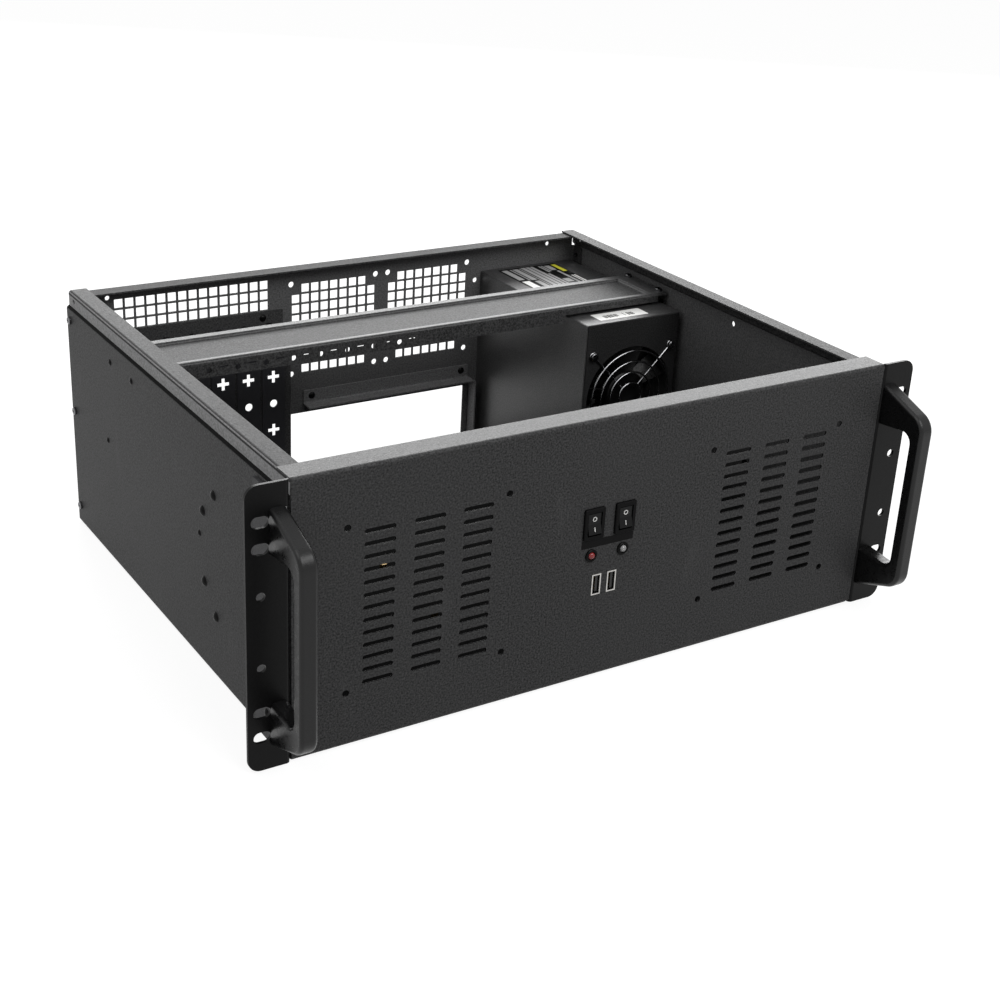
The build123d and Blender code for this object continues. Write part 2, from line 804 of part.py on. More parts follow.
# Crossbar
bar_front = bar_centre - bar_width / 2
bar_rear = bar_centre + bar_width / 2
bar_half = wall_inner - bar_end_gap
bar_section = folded(
    Plane.YZ,
    [
        (bar_front + sheet / 2, bar_top - bar_drop),
        (bar_front + sheet / 2, bar_top - sheet / 2),
        (bar_rear - sheet / 2, bar_top - sheet / 2),
        (bar_rear - sheet / 2, bar_top - bar_drop),
    ],
)
pan_half = bar_half - 13.5
pan_front = bar_front + bar_front_rim
pan_rear = bar_rear - bar_rear_rim
pan_middle = (pan_front + pan_rear) / 2
pan_slope = 45.0
bar_screw_place = bar_half - 3.5
bar_hole_first = bar_hole_start - bar_half
bar_hole_count = 8
bar_hole_level = bar_top - bar_drop * 0.62
tab_length = 8.0
supply_relief = supply_left - 5.0
with BuildPart() as crossbar:
    extrude(bar_section, amount=bar_half, both=True)
    with BuildSketch(Plane.XY.offset(bar_top - sheet)):
        with Locations((0, pan_middle)):
            Rectangle(2 * pan_half, pan_rear - pan_front)
    extrude(amount=-bar_pan, taper=pan_slope)
    with BuildSketch(Plane.XY.offset(bar_top)):
        with Locations((0, pan_middle)):
            Rectangle(2 * pan_half - 1.0, pan_rear - pan_front - 1.0)
    extrude(amount=-bar_pan, taper=pan_slope, mode=Mode.SUBTRACT)
    with BuildSketch(Plane.XZ.offset(-bar_front - sheet * 2)):
        for number in range(bar_hole_count):
            with Locations((bar_hole_first + number * bar_hole_pitch, bar_hole_level)):
                Circle(bar_hole_radius)
            with Locations((bar_hole_first + (number + 0.5) * bar_hole_pitch, bar_hole_level + 1.5)):
                SlotOverall(5.6, 1.4)
    extrude(amount=sheet * 3, mode=Mode.SUBTRACT)
    with BuildSketch(Plane.XZ.offset(-bar_rear - 1)):
        with Locations((supply_relief, bar_top - bar_drop)):
            Rectangle(wall_outer, 2 * (bar_drop - bar_over_supply), align=(Align.MIN, Align.CENTER))
        with Locations((-bar_half, bar_top - bar_drop), (bar_half, bar_top - bar_drop)):
            Rectangle(2 * tab_length, 2 * (bar_drop - sheet - inside_bend))
    extrude(amount=bar_width + 2, mode=Mode.SUBTRACT)
    with BuildSketch(Plane.XY.offset(bar_top)):
        with Locations(*[(side * bar_screw_place, y) for side in (-1, 1) for y in bar_screw_lines]):
            Circle(bar_screw_radius + rivet_play)
    extrude(amount=-sheet * 2, mode=Mode.SUBTRACT)
finish(crossbar.part, "crossbar")


def make_bracket(side):
    """An angle between a side wall and the underside of the bar."""
    wall_leg = side * (wall_inner - sheet / 2)
    level = bar_top - sheet * 1.5
    section = folded(
        Plane.XZ.offset(-bar_centre),
        [
            (wall_leg, bar_top - bracket_leg),
            (wall_leg, level),
            (side * (wall_inner - bracket_foot), level),
        ],
    )
    half = bar_width / 2 - sheet - inside_bend - fit
    with BuildPart() as bracket:
        extrude(section, amount=half, both=True)
        with BuildSketch(Plane.XY.offset(bar_top)):
            with Locations(*[(side * bar_screw_place, y) for y in bar_screw_lines]):
                Circle(bar_screw_radius + rivet_play)
        extrude(amount=-sheet * 4, mode=Mode.SUBTRACT)
        with BuildSketch(Plane.YZ.offset(side * wall_inner)):
            with Locations(*[(y, bracket_rivet_level) for y in bar_screw_lines]):
                Circle(bracket_rivet_radius + rivet_play)
        extrude(amount=-side * sheet * 2, mode=Mode.SUBTRACT)
    return bracket.part


finish(make_bracket(-1), "crossbar_bracket_left")
finish(make_bracket(1), "crossbar_bracket_right")

bar_screw = screw(bar_screw_head, bar_screw_crown, bar_screw_radius, bar_screw_length)
bar_screw_planes = [
    Plane.XY.offset(bar_top).move(Location((side * bar_screw_place, y, 0)))
    for side in (-1, 1)
    for y in bar_screw_lines
]
finish(placed(bar_screw, bar_screw_planes), "crossbar_screws")

bracket_rivet = rivet(bracket_rivet_head, bracket_rivet_crown, bracket_rivet_radius, 2 * sheet)
bracket_rivet_planes = [
    face_at(side * wall_outer, y, bracket_rivet_level, (side, 0, 0))
    for side in (-1, 1)
    for y in bar_screw_lines
]
finish(placed(bracket_rivet, bracket_rivet_planes), "bracket_rivets")


# Rocker switches, made with the panel's outer face at zero, the outside along +Z and the long way along Y
def make_switch_body():
    """A snap-in housing with a bezel, a well for the rocker, pivot holes and snap wedges."""
    well_width = rocker_width + 2 * fit
    well_length = rocker_length + 2 * fit + 0.4
    with BuildPart() as body:
        with BuildSketch(Plane.XY):
            RectangleRounded(bezel_width, bezel_length, 1.2)
        extrude(amount=bezel_thickness)
        chamfer(body.faces().sort_by(Axis.Z)[-1].edges(), 0.5)
        with BuildSketch(Plane.XY):
            Rectangle(switch_width, switch_length)
        extrude(amount=-switch_depth)
        with BuildSketch(Plane.YZ):
            for end in (-1, 1):
                with BuildLine():
                    Polyline(
                        (end * switch_length / 2, -sheet - 0.2),
                        (end * (switch_length / 2 + 0.9), -sheet - 0.2),
                        (end * switch_length / 2, -sheet - 6.0),
                        close=True,
                    )
                make_face()
        extrude(amount=switch_width / 4, both=True)
        with BuildSketch(Plane.XY.offset(bezel_thickness)):
            Rectangle(well_width, well_length)
        extrude(amount=-cavity_depth - bezel_thickness, mode=Mode.SUBTRACT)
        with BuildSketch(Plane.YZ):
            with Locations((0, bezel_thickness - rocker_pivot_depth)):
                Circle(pin_radius + pin_play)
        extrude(amount=rocker_width / 2 + 1.2, both=True, mode=Mode.SUBTRACT)
    return body.part


def make_rocker():
    """A rocker at rest with its upper end pressed in, round about its pivot, with two pins."""
    pivot = bezel_thickness - rocker_pivot_depth
    end_radius = rocker_length / 2
    crest = 1.9
    rise = crest + tan(radians(rocker_swing)) * end_radius
    with BuildPart() as rocker:
        with BuildSketch(Plane.YZ):
            with Locations((0, pivot)):
                Circle(end_radius)
            with BuildLine():
                Polyline(
                    (-end_radius, pivot + rise),
                    (0, pivot + crest),
                    (end_radius, pivot + crest),
                    (end_radius, pivot - 1.4),
                    (0, pivot - 2.2),
                    (-end_radius, pivot - 1.4),
                    close=True,
                )
            make_face(mode=Mode.INTERSECT)
        extrude(amount=rocker_width / 2, both=True)
        with BuildSketch(Plane.YZ):
            with Locations((0, pivot)):
                Circle(pin_radius)
        extrude(amount=rocker_width / 2 + 1.0, both=True)
    return rocker.part


switch_body = make_switch_body()
rocker = make_rocker()
terminal = Box(0.8, terminal_width, terminal_length)
reset_plane = face_at(reset_place, front, switch_level, (0, -1, 0))
power_plane = face_at(power_place, front, switch_level, (0, -1, 0))
finish(placed(switch_body, [reset_plane]), "reset_switch_body")
finish(placed(rocker, [reset_plane]), "reset_rocker")
finish(placed(switch_body, [power_plane]), "power_switch_body")
finish(placed(rocker, [power_plane]), "power_rocker")
terminal_planes = [
    plane.offset(-switch_depth - terminal_length / 2).shift_origin(
        plane.offset(-switch_depth - terminal_length / 2).from_local_coords((0, y, 0))
    )
    for plane in (reset_plane, power_plane)
    for y in (-4.5, 4.5)
]
finish(placed(terminal, terminal_planes), "switch_terminals")

# Lamps and their holders
lamp_holder = turned([
    (lamp_radius + 0.15, -holder_depth),
    (holder_neck, -holder_depth),
    (holder_neck, 0),
    (holder_radius, 0),
    (holder_radius, holder_lip - 0.5),
    (holder_radius - 0.5, holder_lip),
    (lamp_radius + 0.15, holder_lip),
])
with BuildPart() as lamp:
    with BuildSketch(Plane.XZ):
        with BuildLine():
            tip = CenterArc((0, 0), lamp_radius, 0, 90)
            Polyline(
                tip @ 1,
                (0, -holder_depth - 1.2),
                (holder_neck - 0.4, -holder_depth - 1.2),
                (holder_neck - 0.4, -holder_depth),
                (lamp_radius, -holder_depth),
                tip @ 0,
            )
        make_face()
    revolve(axis=Axis.Z)
red_plane = face_at(red_lamp_place, front, lamp_level, (0, -1, 0))
clear_plane = face_at(clear_lamp_place, front, lamp_level, (0, -1, 0))
finish(placed(lamp_holder, [red_plane]), "red_lamp_holder")
finish(placed(lamp.part, [red_plane]), "red_lamp")
finish(placed(lamp_holder, [clear_plane]), "clear_lamp_holder")
finish(placed(lamp.part, [clear_plane]), "clear_lamp")

# Sockets, made with the panel's outer face at zero and the mouth along +Z
shell_width = socket_width + 2 * socket_wall
shell_length = socket_length + 2 * socket_wall
with BuildPart() as socket_shell:
    with BuildSketch(Plane.XY.offset(-socket_depth)):
        Rectangle(shell_width, shell_length)
    extrude(amount=socket_depth)
    with BuildSketch(Plane.XY):
        Rectangle(shell_width + 2 * socket_flare, shell_length + 2 * socket_flare)
    extrude(amount=socket_wall * 1.5)
    with BuildSketch(Plane.XY.offset(1)):
        Rectangle(socket_width, socket_length)
    extrude(amount=-socket_depth, mode=Mode.SUBTRACT)
with BuildPart() as socket_tongue:
    with BuildSketch(Plane.XY.offset(1 - socket_depth)):
        Rectangle(socket_width - 0.2, socket_length - 0.2)
    extrude(amount=3.0)
    with BuildSketch(Plane.XY.offset(1 - socket_depth)):
        with Locations((socket_width / 2 - 1.5, 0)):
            Rectangle(1.8, socket_length - 1.3)
    extrude(amount=socket_depth - 2.0)
socket_planes = [face_at(x, front, socket_level, (0, -1, 0)) for x in socket_places]
for name, plane in zip(("left", "right"), socket_planes):
    finish(placed(socket_shell.part, [plane]), "usb_shell_" + name)
    finish(placed(socket_tongue.part, [plane]), "usb_tongue_" + name)
board_margin = 4.0
with BuildPart() as socket_board:
    with BuildSketch(face_at(sum(socket_places) / 2, front + socket_depth, socket_level, (0, 1, 0))):
        Rectangle(
            socket_places[1] - socket_places[0] + shell_width + board_margin,
            shell_length + board_margin,
        )
    extrude(amount=1.6)
finish(socket_board.part, "usb_board")

# Power supply covers
supply_line = supply_sheet / 2
supply_bend = 1.0
vent_slot_pitch = 6.0
inlet_level = 30.0
rear_switch_level = 58.0
rear_vent_low = 76.0
rear_vent_rows = 1 + int((supply_top - 19.0 - rear_vent_low) / vent_slot_pitch)
inlet_width = 27.0
inlet_height = 19.8
supply_case_left = supply_left + supply_sheet + supply_bend / 2 + 0.1
supply_case_section = folded(
    Plane.XY.offset(supply_base + supply_sheet),
    [
        (supply_case_left, supply_front + supply_line),
        (supply_right - supply_line, supply_front + supply_line),
        (supply_right - supply_line, rear_inside - supply_line),
        (supply_case_left, rear_inside - supply_line),
    ],
    supply_sheet,
    supply_bend,
)
with BuildPart() as supply_case:
    extrude(supply_case_section, amount=supply_height - 2 * supply_sheet)
    with BuildSketch(Plane.XZ.offset(-supply_front - 2 * supply_sheet)):
        with Locations((supply_middle, supply_fan_level)):
            Circle(fan_bore)
        with Locations(*supply_fan_corners):
            Circle(fan_hole_clear)
    extrude(amount=supply_sheet * 3, mode=Mode.SUBTRACT)
    with BuildSketch(Plane.XZ.offset(-rear_inside - 1)):
        with Locations((supply_middle, inlet_level)):
            Rectangle(inlet_width + 0.4, inlet_height + 0.4)
        with Locations((supply_middle, rear_switch_level)):
            Rectangle(switch_length + 0.4, switch_width + 0.4)
        with Locations((supply_middle, rear_vent_low + (rear_vent_rows - 1) * vent_slot_pitch / 2)):
            with GridLocations(0, vent_slot_pitch, 1, rear_vent_rows):
                SlotOverall(supply_width - 2 * supply_vent_margin, vent_slot_pitch / 2)
        with Locations(*supply_screw_places):
            Circle(supply_screw_radius + rivet_play)
    extrude(amount=supply_sheet * 3, mode=Mode.SUBTRACT)
finish(supply_case.part, "supply_case")

supply_lid_section = folded(
    Plane.XZ.offset(-supply_front),
    [
        (supply_right, supply_top - supply_line),
        (supply_left + supply_line, supply_top - supply_line),
        (supply_left + supply_line, supply_base + supply_line),
        (supply_right, supply_base + supply_line),
    ],
    supply_sheet,
    supply_bend,
)
with BuildPart() as supply_lid:
    extrude(supply_lid_section, amount=-supply_length)
finish(supply_lid.part, "supply_lid")

supply_screw = screw(supply_screw_head, supply_screw_crown, supply_screw_radius, supply_screw_length)
supply_screw_planes = [face_at(x, rear, z, (0, 1, 0)) for x, z in supply_screw_places]
finish(placed(supply_screw, supply_screw_planes), "supply_screws")

# Fan, with its middle line along Y and its front flush with the cover's inside
fan_front = supply_front + supply_sheet
fan_plane = face_at(supply_middle, fan_front, supply_fan_level, (0, 1, 0))
boss_radius = 15.0
boss_depth = 3.5
boss_front = supply_fan_depth - boss_depth
hub_front = 2.0
hub_back = boss_front - 0.8
with BuildPart() as fan_frame:
    with BuildSketch(Plane.XY):
        RectangleRounded(supply_fan_size, supply_fan_size, 3.0)
        Circle(fan_bore, mode=Mode.SUBTRACT)
        with GridLocations(supply_fan_pitch, supply_fan_pitch, 2, 2):
            Circle(fan_hole_clear, mode=Mode.SUBTRACT)
    extrude(amount=supply_fan_depth)
    with BuildSketch(Plane.XY.offset(boss_front)):
        Circle(boss_radius)
        with PolarLocations(fan_bore / 2 + 5, 4, start_angle=45):
            Rectangle(fan_bore - 6.0, 3.0)
    extrude(amount=boss_depth)
    with BuildSketch(Plane.XY.offset(boss_front)):
        Circle(shaft_radius + shaft_play)
    extrude(amount=2.5, mode=Mode.SUBTRACT)
finish(placed(fan_frame.part, [fan_plane]), "supply_fan_frame")

blade_root = fan_hub_radius - 0.6
blade_tip = fan_bore - 1.5
blade_middle = (hub_front + hub_back) / 2
with BuildPart() as fan_rotor:
    with BuildSketch(Plane.XY.offset(hub_front)):
        Circle(fan_hub_radius)
    extrude(amount=hub_back - hub_front)
    chamfer(fan_rotor.faces().sort_by(Axis.Z)[0].edges(), 1.0)
    with BuildSketch(Plane.XY.offset(hub_back)):
        Circle(shaft_radius)
    extrude(amount=boss_front + 2.2 - hub_back)
    for number in range(fan_blade_count):
        turn = number * 360.0 / fan_blade_count
        outward = (cos(radians(turn)), sin(radians(turn)), 0)
        with BuildSketch(
            Plane(
                origin=(outward[0] * blade_root, outward[1] * blade_root, blade_middle),
                x_dir=(0, 0, 1),
                z_dir=outward,
            )
        ):
            Rectangle(13.0, 1.4, rotation=42.0)
        with BuildSketch(
            Plane(
                origin=(outward[0] * blade_tip, outward[1] * blade_tip, blade_middle),
                x_dir=(0, 0, 1),
                z_dir=outward,
            )
        ):
            Rectangle(19.0, 1.1, rotation=62.0)
        loft(ruled=True)
finish(placed(fan_rotor.part, [fan_plane]), "supply_fan_rotor")

# Wire guard outside the cover, with its arms under its rings
guard_plane = face_at(supply_middle, supply_front, supply_fan_level, (0, -1, 0))
guard_rings = [fan_bore - 2.0 - step * guard_ring_step for step in range(guard_ring_count)]
guard_corner = supply_fan_pitch / 2 * 2**0.5
with BuildPart() as fan_guard:
    with BuildSketch(guard_plane.offset(guard_wire)):
        for radius in guard_rings:
            Circle(radius)
            Circle(radius - guard_wire, mode=Mode.SUBTRACT)
    extrude(amount=guard_wire)
    with BuildSketch(guard_plane):
        with PolarLocations((guard_rings[-1] + guard_corner) / 2, 4, start_angle=45):
            Rectangle(guard_corner - guard_rings[-1] + guard_wire, guard_wire)
        with GridLocations(supply_fan_pitch, supply_fan_pitch, 2, 2):
            Circle(guard_screw_radius + fit + guard_wire)
            Circle(guard_screw_radius + fit, mode=Mode.SUBTRACT)
    extrude(amount=guard_wire)
finish(fan_guard.part, "supply_fan_guard")

guard_screw = screw(guard_screw_head, guard_screw_crown, guard_screw_radius, guard_screw_length)
guard_screw_planes = [face_at(x, supply_front - guard_wire, z, (0, -1, 0)) for x, z in supply_fan_corners]
finish(placed(guard_screw, guard_screw_planes), "guard_screws")

# Mains inlet and rear switch
inlet_plane = face_at(supply_middle, rear_inside, inlet_level, (0, 1, 0))
inlet_flange = sheet
inlet_mouth_width = 24.2
inlet_mouth_height = 16.4
inlet_depth = 18.0
inlet_well = 15.5
inlet_pin_set_back = 5.0
with BuildPart() as inlet:
    with BuildSketch(inlet_plane):
        RectangleRounded(inlet_width + 4.0, inlet_height + 4.4, 1.5)
    extrude(amount=inlet_flange)
    with BuildSketch(inlet_plane):
        Rectangle(inlet_width, inlet_height)
    extrude(amount=-inlet_depth)
    with BuildSketch(inlet_plane.offset(inlet_flange)) as well:
        Rectangle(inlet_mouth_width, inlet_mouth_height)
        chamfer(well.vertices().group_by(Axis.Z)[-1], 4.0)
    extrude(amount=-inlet_well, mode=Mode.SUBTRACT)
    with BuildSketch(inlet_plane.offset(inlet_flange - inlet_well)):
        with Locations((-7.0, -2.0), (7.0, -2.0), (0, 2.2)):
            Rectangle(2.0, 4.0)
    extrude(amount=inlet_well - inlet_pin_set_back)
finish(inlet.part, "supply_inlet")

rear_switch_plane = Plane(
    origin=(supply_middle, rear_inside, rear_switch_level),
    x_dir=(0, 0, 1),
    z_dir=(0, 1, 0),
)
finish(placed(switch_body, [rear_switch_plane]), "supply_switch_body")
finish(placed(rocker, [rear_switch_plane]), "supply_rocker")

# Standoffs for the main board
with BuildPart() as standoff:
    with BuildSketch(Plane.XY.offset(sheet)):
        RegularPolygon(standoff_flats / 2, 6, major_radius=False)
    extrude(amount=standoff_height)
    with BuildSketch(Plane.XY.offset(0.2)):
        Circle(stud_radius)
    extrude(amount=sheet)
    with BuildSketch(Plane.XY.offset(sheet + standoff_height)):
        Circle(1.25)
    extrude(amount=-6.0, mode=Mode.SUBTRACT)
finish(placed(standoff.part, [Location((x, y, 0)) for x, y in board_points]), "board_standoffs")
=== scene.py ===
"""Looks for an open four unit rackmount case: finishes, small pieces and stage.

Lengths are metres in the row frame, except where a comment says millimetres: X along the front,
Y from the front to the rear, Z up from the floor.
"""

import math
from collections import namedtuple

import bmesh
import bpy
import numpy as np
from mathutils import Matrix, Vector


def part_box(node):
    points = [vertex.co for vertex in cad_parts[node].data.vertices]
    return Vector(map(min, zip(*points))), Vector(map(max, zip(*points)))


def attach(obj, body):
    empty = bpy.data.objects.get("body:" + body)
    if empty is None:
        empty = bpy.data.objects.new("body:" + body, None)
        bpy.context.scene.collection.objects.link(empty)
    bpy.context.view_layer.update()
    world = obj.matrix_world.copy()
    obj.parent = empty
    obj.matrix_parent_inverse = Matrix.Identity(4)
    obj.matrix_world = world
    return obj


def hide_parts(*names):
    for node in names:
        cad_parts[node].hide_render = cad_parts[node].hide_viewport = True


bl_info = {
    "name": "Open rackmount case",
    "version": (1, 0, 0),
    "blender": (4, 5, 0),
    "location": "3D view > Sidebar > Rack case",
    "description": "Finishes, small pieces and stage for an open rackmount case",
    "category": "Object",
}

MM = 0.001
X, Y, Z = 0, 1, 2
RIGHT = np.array([1.0, 0.0, 0.0])
BACK = np.array([0.0, 1.0, 0.0])
UP = np.array([0.0, 0.0, 1.0])

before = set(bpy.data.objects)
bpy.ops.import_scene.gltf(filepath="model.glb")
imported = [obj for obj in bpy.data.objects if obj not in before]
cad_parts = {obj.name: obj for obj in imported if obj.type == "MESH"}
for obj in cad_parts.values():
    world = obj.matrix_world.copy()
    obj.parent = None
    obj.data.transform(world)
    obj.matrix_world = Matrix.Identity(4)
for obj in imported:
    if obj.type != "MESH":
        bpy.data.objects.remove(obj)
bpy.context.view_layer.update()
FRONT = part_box("front_panel")[0].y
LID_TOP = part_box("supply_lid")[1].z
GUARD_LOW, GUARD_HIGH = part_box("supply_fan_guard")

MERGE_DISTANCE = 0.0001 * MM  # points of a new surface that are closer are one point
WIRE_SIDES = 10

MIX_COLOURS, MIX_RESULT = (6, 7), 2  # the sockets of a mix node that hold colours
NOISE_RANGE = (0.3, 0.7)  # most of a noise's values lie between these two
METAL_RELIEF = 0.00001
RESIN_RELIEF = 0.00002
FILM_RELIEF = 0.00002
COPPER_RELIEF = 0.00003
COPPER_EDGE = (0.48, 0.52)  # the noise values between which bare board turns into copper

# A zone of a paint: the limits of its box, its tone as a factor of the paint's colour and its
# shine as a factor of the paint's gloss.
Zone = namedtuple("Zone", "limits tone shine")

# Zones that follow an outer face, in millimetres in from that face: far edge and near edge.
# TOP_FACE: top faces that carry painted light, and the rear wall's top, a little darker.
TOP_FACE = (0.3, -0.3)
# INNER_FACE: inner faces of the walls, with painted shade low down and painted light above.
INNER_FACE = (1.5, 0.7)
# CUT_EDGES: cut edges of the front's vents, painted dark as shade.
CUT_EDGES = (1.05, 0.12)
# SEAT: a strip just below the walls' tops, painted lighter and glossier.
SEAT_WIDTH, SEAT_DEPTH = (2.6, 1.4), (10.4, 0.0)
# The upper and lower lines are painted shadows along the joggle of the walls' tops.
UPPER_SHADOW_WIDTH, UPPER_SHADOW_DEPTH = (2.6, 1.0), (2.9, 1.5)
LOWER_SHADOW_WIDTH, LOWER_SHADOW_DEPTH = (2.6, 0.1), (11.8, 10.2)

# Other places of the paint's zones.
# The base and the foot of the walls' inner faces carry painted shade.
BASE_FACE = (0.6 * MM, 3.0 * MM)  # heights below and above the base's inner face
BASE_EDGE = 0.6 * MM  # from the base's zone to the walls' outside
WALL_FOOT = 1.0 * MM  # height at which the walls' inner faces begin
# From WALL_FADE up, painted light makes the walls' inner faces lighter.
WALL_FADE = 30.0 * MM  # height from which they grow lighter
STRIP_FOOT = 12.0 * MM  # from the walls' tops down to the foot of the cover's strip
VENT_REACH = 0.2  # half the width that takes in every vent
VENT_MARGIN = 15 * MM  # from the panel's foot and top to the nearest vents
REAR_FOOT, REAR_HEAD = 3.0 * MM, 1.0 * MM  # margins of the rear wall's inner face
PAN_DROP = 1.2 * MM  # from the crossbar's rims down to its pan
EAR_LEG = 2.2 * MM  # room for the thickness of an ear's leg

EAR_GLOSS = 0.12
SUPPLY_ROUGHNESS = 0.42
LID_GLOSS = 0.55
SUPPLY_GLOSS = 0.15

# Contacts of the sockets.
TONGUE_FACE = 0.15 * MM  # from the socket's middle to the tongue's face
CONTACT_SINK = 0.02 * MM  # depth of a contact's foot in the tongue
CONTACT_PLACE = 5.0 * MM  # from the front's face to a contact's middle
CONTACT_SIZE = (1.0 * MM, 7.0 * MM, 0.1 * MM, 0.2 * MM)  # width, length, thickness, corner
CONTACT_LEVELS = (-3.5, -1.0, 1.0, 3.5)  # millimetres from the socket's middle

STRIP_GAP = 0.6 * MM  # from the switches' bezels down to the plain strip
STRIP_CORNER = 0.4 * MM

# Labels on the supply's lid, in millimetres. A label's place is its near left corner, from the
# lid's own. A field is its near left corner from the label's, its width and its length.
LABEL_CORNER = 0.8
SMALL_PLACE = (16.5, 6.0)
BAR_CORNER, BAR_FOOT, BAR_LENGTH = 0.05, 3.2, 5.6
BARS = tuple((x, BAR_FOOT, width, BAR_LENGTH) for x, width in (
    (7.0, 0.5), (8.2, 0.9), (9.8, 0.4), (11.0, 1.2), (13.0, 0.5), (14.2, 0.8), (15.8, 0.4),
    (17.0, 1.0), (18.8, 0.5), (25.0, 0.4), (28.4, 0.9), (30.0, 0.5), (31.3, 1.1), (33.2, 0.5),
))
LARGE_PLACE = (13.0, 79.0)
FIELD_CORNER = 0.2
GREY_FIELDS = (
    (1.6, 36.0, 5.2, 27.0), (9.4, 33.0, 1.2, 30.0), (12.0, 6.0, 4.6, 24.0),
    (12.0, 33.0, 4.6, 30.0), (18.0, 4.0, 1.0, 59.0), (20.4, 3.0, 3.6, 61.0),
    (25.0, 3.0, 3.2, 61.0), (29.2, 3.0, 2.6, 61.0), (33.0, 3.0, 2.0, 40.0),
    (36.4, 46.0, 1.4, 17.0), (39.0, 48.0, 1.4, 15.0), (36.4, 3.0, 6.0, 12.0),
    (36.4, 18.0, 6.0, 9.0), (44.2, 3.0, 2.2, 44.0), (41.8, 50.0, 4.6, 12.0),
)
WHITE_FIELDS = (
    (1.6, 4.0, 6.4, 28.0), (1.6, 0.6, 17.0, 2.0), (49.0, 3.0, 1.0, 30.0), (51.2, 3.0, 1.4, 30.0),
)
YELLOW_FIELDS = ((49.0, 44.0, 4.0, 19.0),)
YELLOW_CORNER = 0.4

FLOOR_LEVEL = -0.0006
FLOOR_REACH = 6.0
FLOOR_GLOW = 0.86  # the floor's own light where it is seen straight
SENSOR_WIDTH = 36.0  # millimetres
NEAREST_SIGHT = 0.01
LAMP_AIM = (0.0, 0.0, 0.08)
# Each lamp's name, the setting that holds its power, its place, its width and its height.
LAMPS = (
    ("lamp_behind", "above", (1.0, 1.5, 0.95), 2.2, 1.2),
    ("lamp_top", "top", (-0.25, -0.1, 1.9), 1.0, 1.0),
    ("lamp_left", "left", (-1.3, -0.3, 1.75), 1.2, 1.2),
    ("lamp_before", "before", (0.3, -1.45, 1.6), 1.4, 1.0),
)


# ---------------------------------------------------------------- surfaces


def quads(rows, columns, wrap_rows=False, wrap_columns=False):
    """Faces of a rows by columns grid, each joining a point to its next row and next column."""
    row = np.arange(rows if wrap_rows else rows - 1)
    column = np.arange(columns if wrap_columns else columns - 1)
    row, column = (a.ravel() for a in np.meshgrid(row, column, indexing="ij"))
    next_row, next_column = (row + 1) % rows, (column + 1) % columns
    corners = (
        row * columns + column,
        next_row * columns + column,
        next_row * columns + next_column,
        row * columns + next_column,
    )
    return np.stack(corners, axis=1)


def ring_surface(centre, across, along, radius, wire, turns=72):
    """A wire ring.

    Its point at a and b is the centre, plus (radius + wire cos b) times (across cos a + along
    sin a), plus wire sin b times the ring's normal.
    """
    a = np.linspace(0, 2 * math.pi, turns, endpoint=False)[:, None, None]
    b = np.linspace(0, 2 * math.pi, WIRE_SIDES, endpoint=False)[None, :, None]
    out = across * np.cos(a) + along * np.sin(a)
    points = centre + (radius + wire * np.cos(b)) * out + wire * np.sin(b) * np.cross(across, along)
    return points.reshape(-1, 3), quads(turns, WIRE_SIDES, True, True)


def wire_surface(start, end, side, wire):
    """A straight wire with round ends.

    Its point at t and b is the line's point t, plus w(t) times (side cos b + other sin b), where
    w is the wire's radius and falls to nothing along a quarter circle at each end.
    """
    line = end - start
    length = np.linalg.norm(line)
    direction = line / length
    cap = np.linspace(0, math.pi / 2, 4)
    places = np.concatenate([wire * (1 - np.cos(cap)), length - wire * (1 - np.cos(cap[::-1]))])
    widths = wire * np.concatenate([np.sin(cap), np.sin(cap[::-1])])
    b = np.linspace(0, 2 * math.pi, WIRE_SIDES, endpoint=False)[None, :, None]
    round_about = side * np.cos(b) + np.cross(direction, side) * np.sin(b)
    points = start + direction * places[:, None, None] + round_about * widths[:, None, None]
    return points.reshape(-1, 3), quads(len(places), WIRE_SIDES, False, True)


def plate_surface(centre, across, along, width, length, thickness, corner, steps=5):
    """A thin plate with rounded corners.

    Its outline is four corner arcs. Its rows are that outline's share from the middle of the top
    out to the edge, then down the edge and back to the middle of the foot.
    """
    outward = np.cross(across, along)
    quarter = math.pi / 2
    turn = (np.linspace(0, quarter, steps)[None, :] + np.arange(4)[:, None] * quarter).ravel()
    sign_x = np.repeat([1, -1, -1, 1], steps)
    sign_y = np.repeat([1, 1, -1, -1], steps)
    x = sign_x * (width / 2 - corner) + corner * np.cos(turn)
    y = sign_y * (length / 2 - corner) + corner * np.sin(turn)
    share = np.array([0.0, 0.55, 1.0, 1.0, 0.0])[:, None, None]
    rise = np.array([1.0, 1.0, 1.0, 0.0, 0.0])[:, None, None] * thickness
    outline = across * x[:, None] + along * y[:, None]
    points = centre + outline[None] * share + outward * rise
    return points.reshape(-1, 3), quads(len(share), 4 * steps, False, True)


def printed_ring_surface(centre, across, along, radius, stroke, thickness, turns=40):
    """A flat ring of a stroke's width, raised by its thickness.

    Its point at a and s is the centre, plus (radius + s) times (across cos a + along sin a), with
    s half a stroke outside or inside.
    """
    a = np.linspace(0, 2 * math.pi, turns, endpoint=False)[:, None, None]
    s = np.array([0.5, 0.5, -0.5, -0.5])[None, :, None] * stroke
    rise = np.array([0.0, 1.0, 1.0, 0.0])[None, :, None] * thickness
    out = across * np.cos(a) + along * np.sin(a)
    points = centre + (radius + s) * out + rise * np.cross(across, along)
    return points.reshape(-1, 3), quads(turns, s.size, True, True)


def joined(surfaces):
    """Several surfaces as one: their points in a row and their faces counted on from there."""
    offsets = np.cumsum([0] + [len(points) for points, faces in surfaces[:-1]])
    points = np.concatenate([points for points, faces in surfaces])
    faces = np.concatenate([faces + offset for (points_, faces), offset in zip(surfaces, offsets)])
    return points, faces


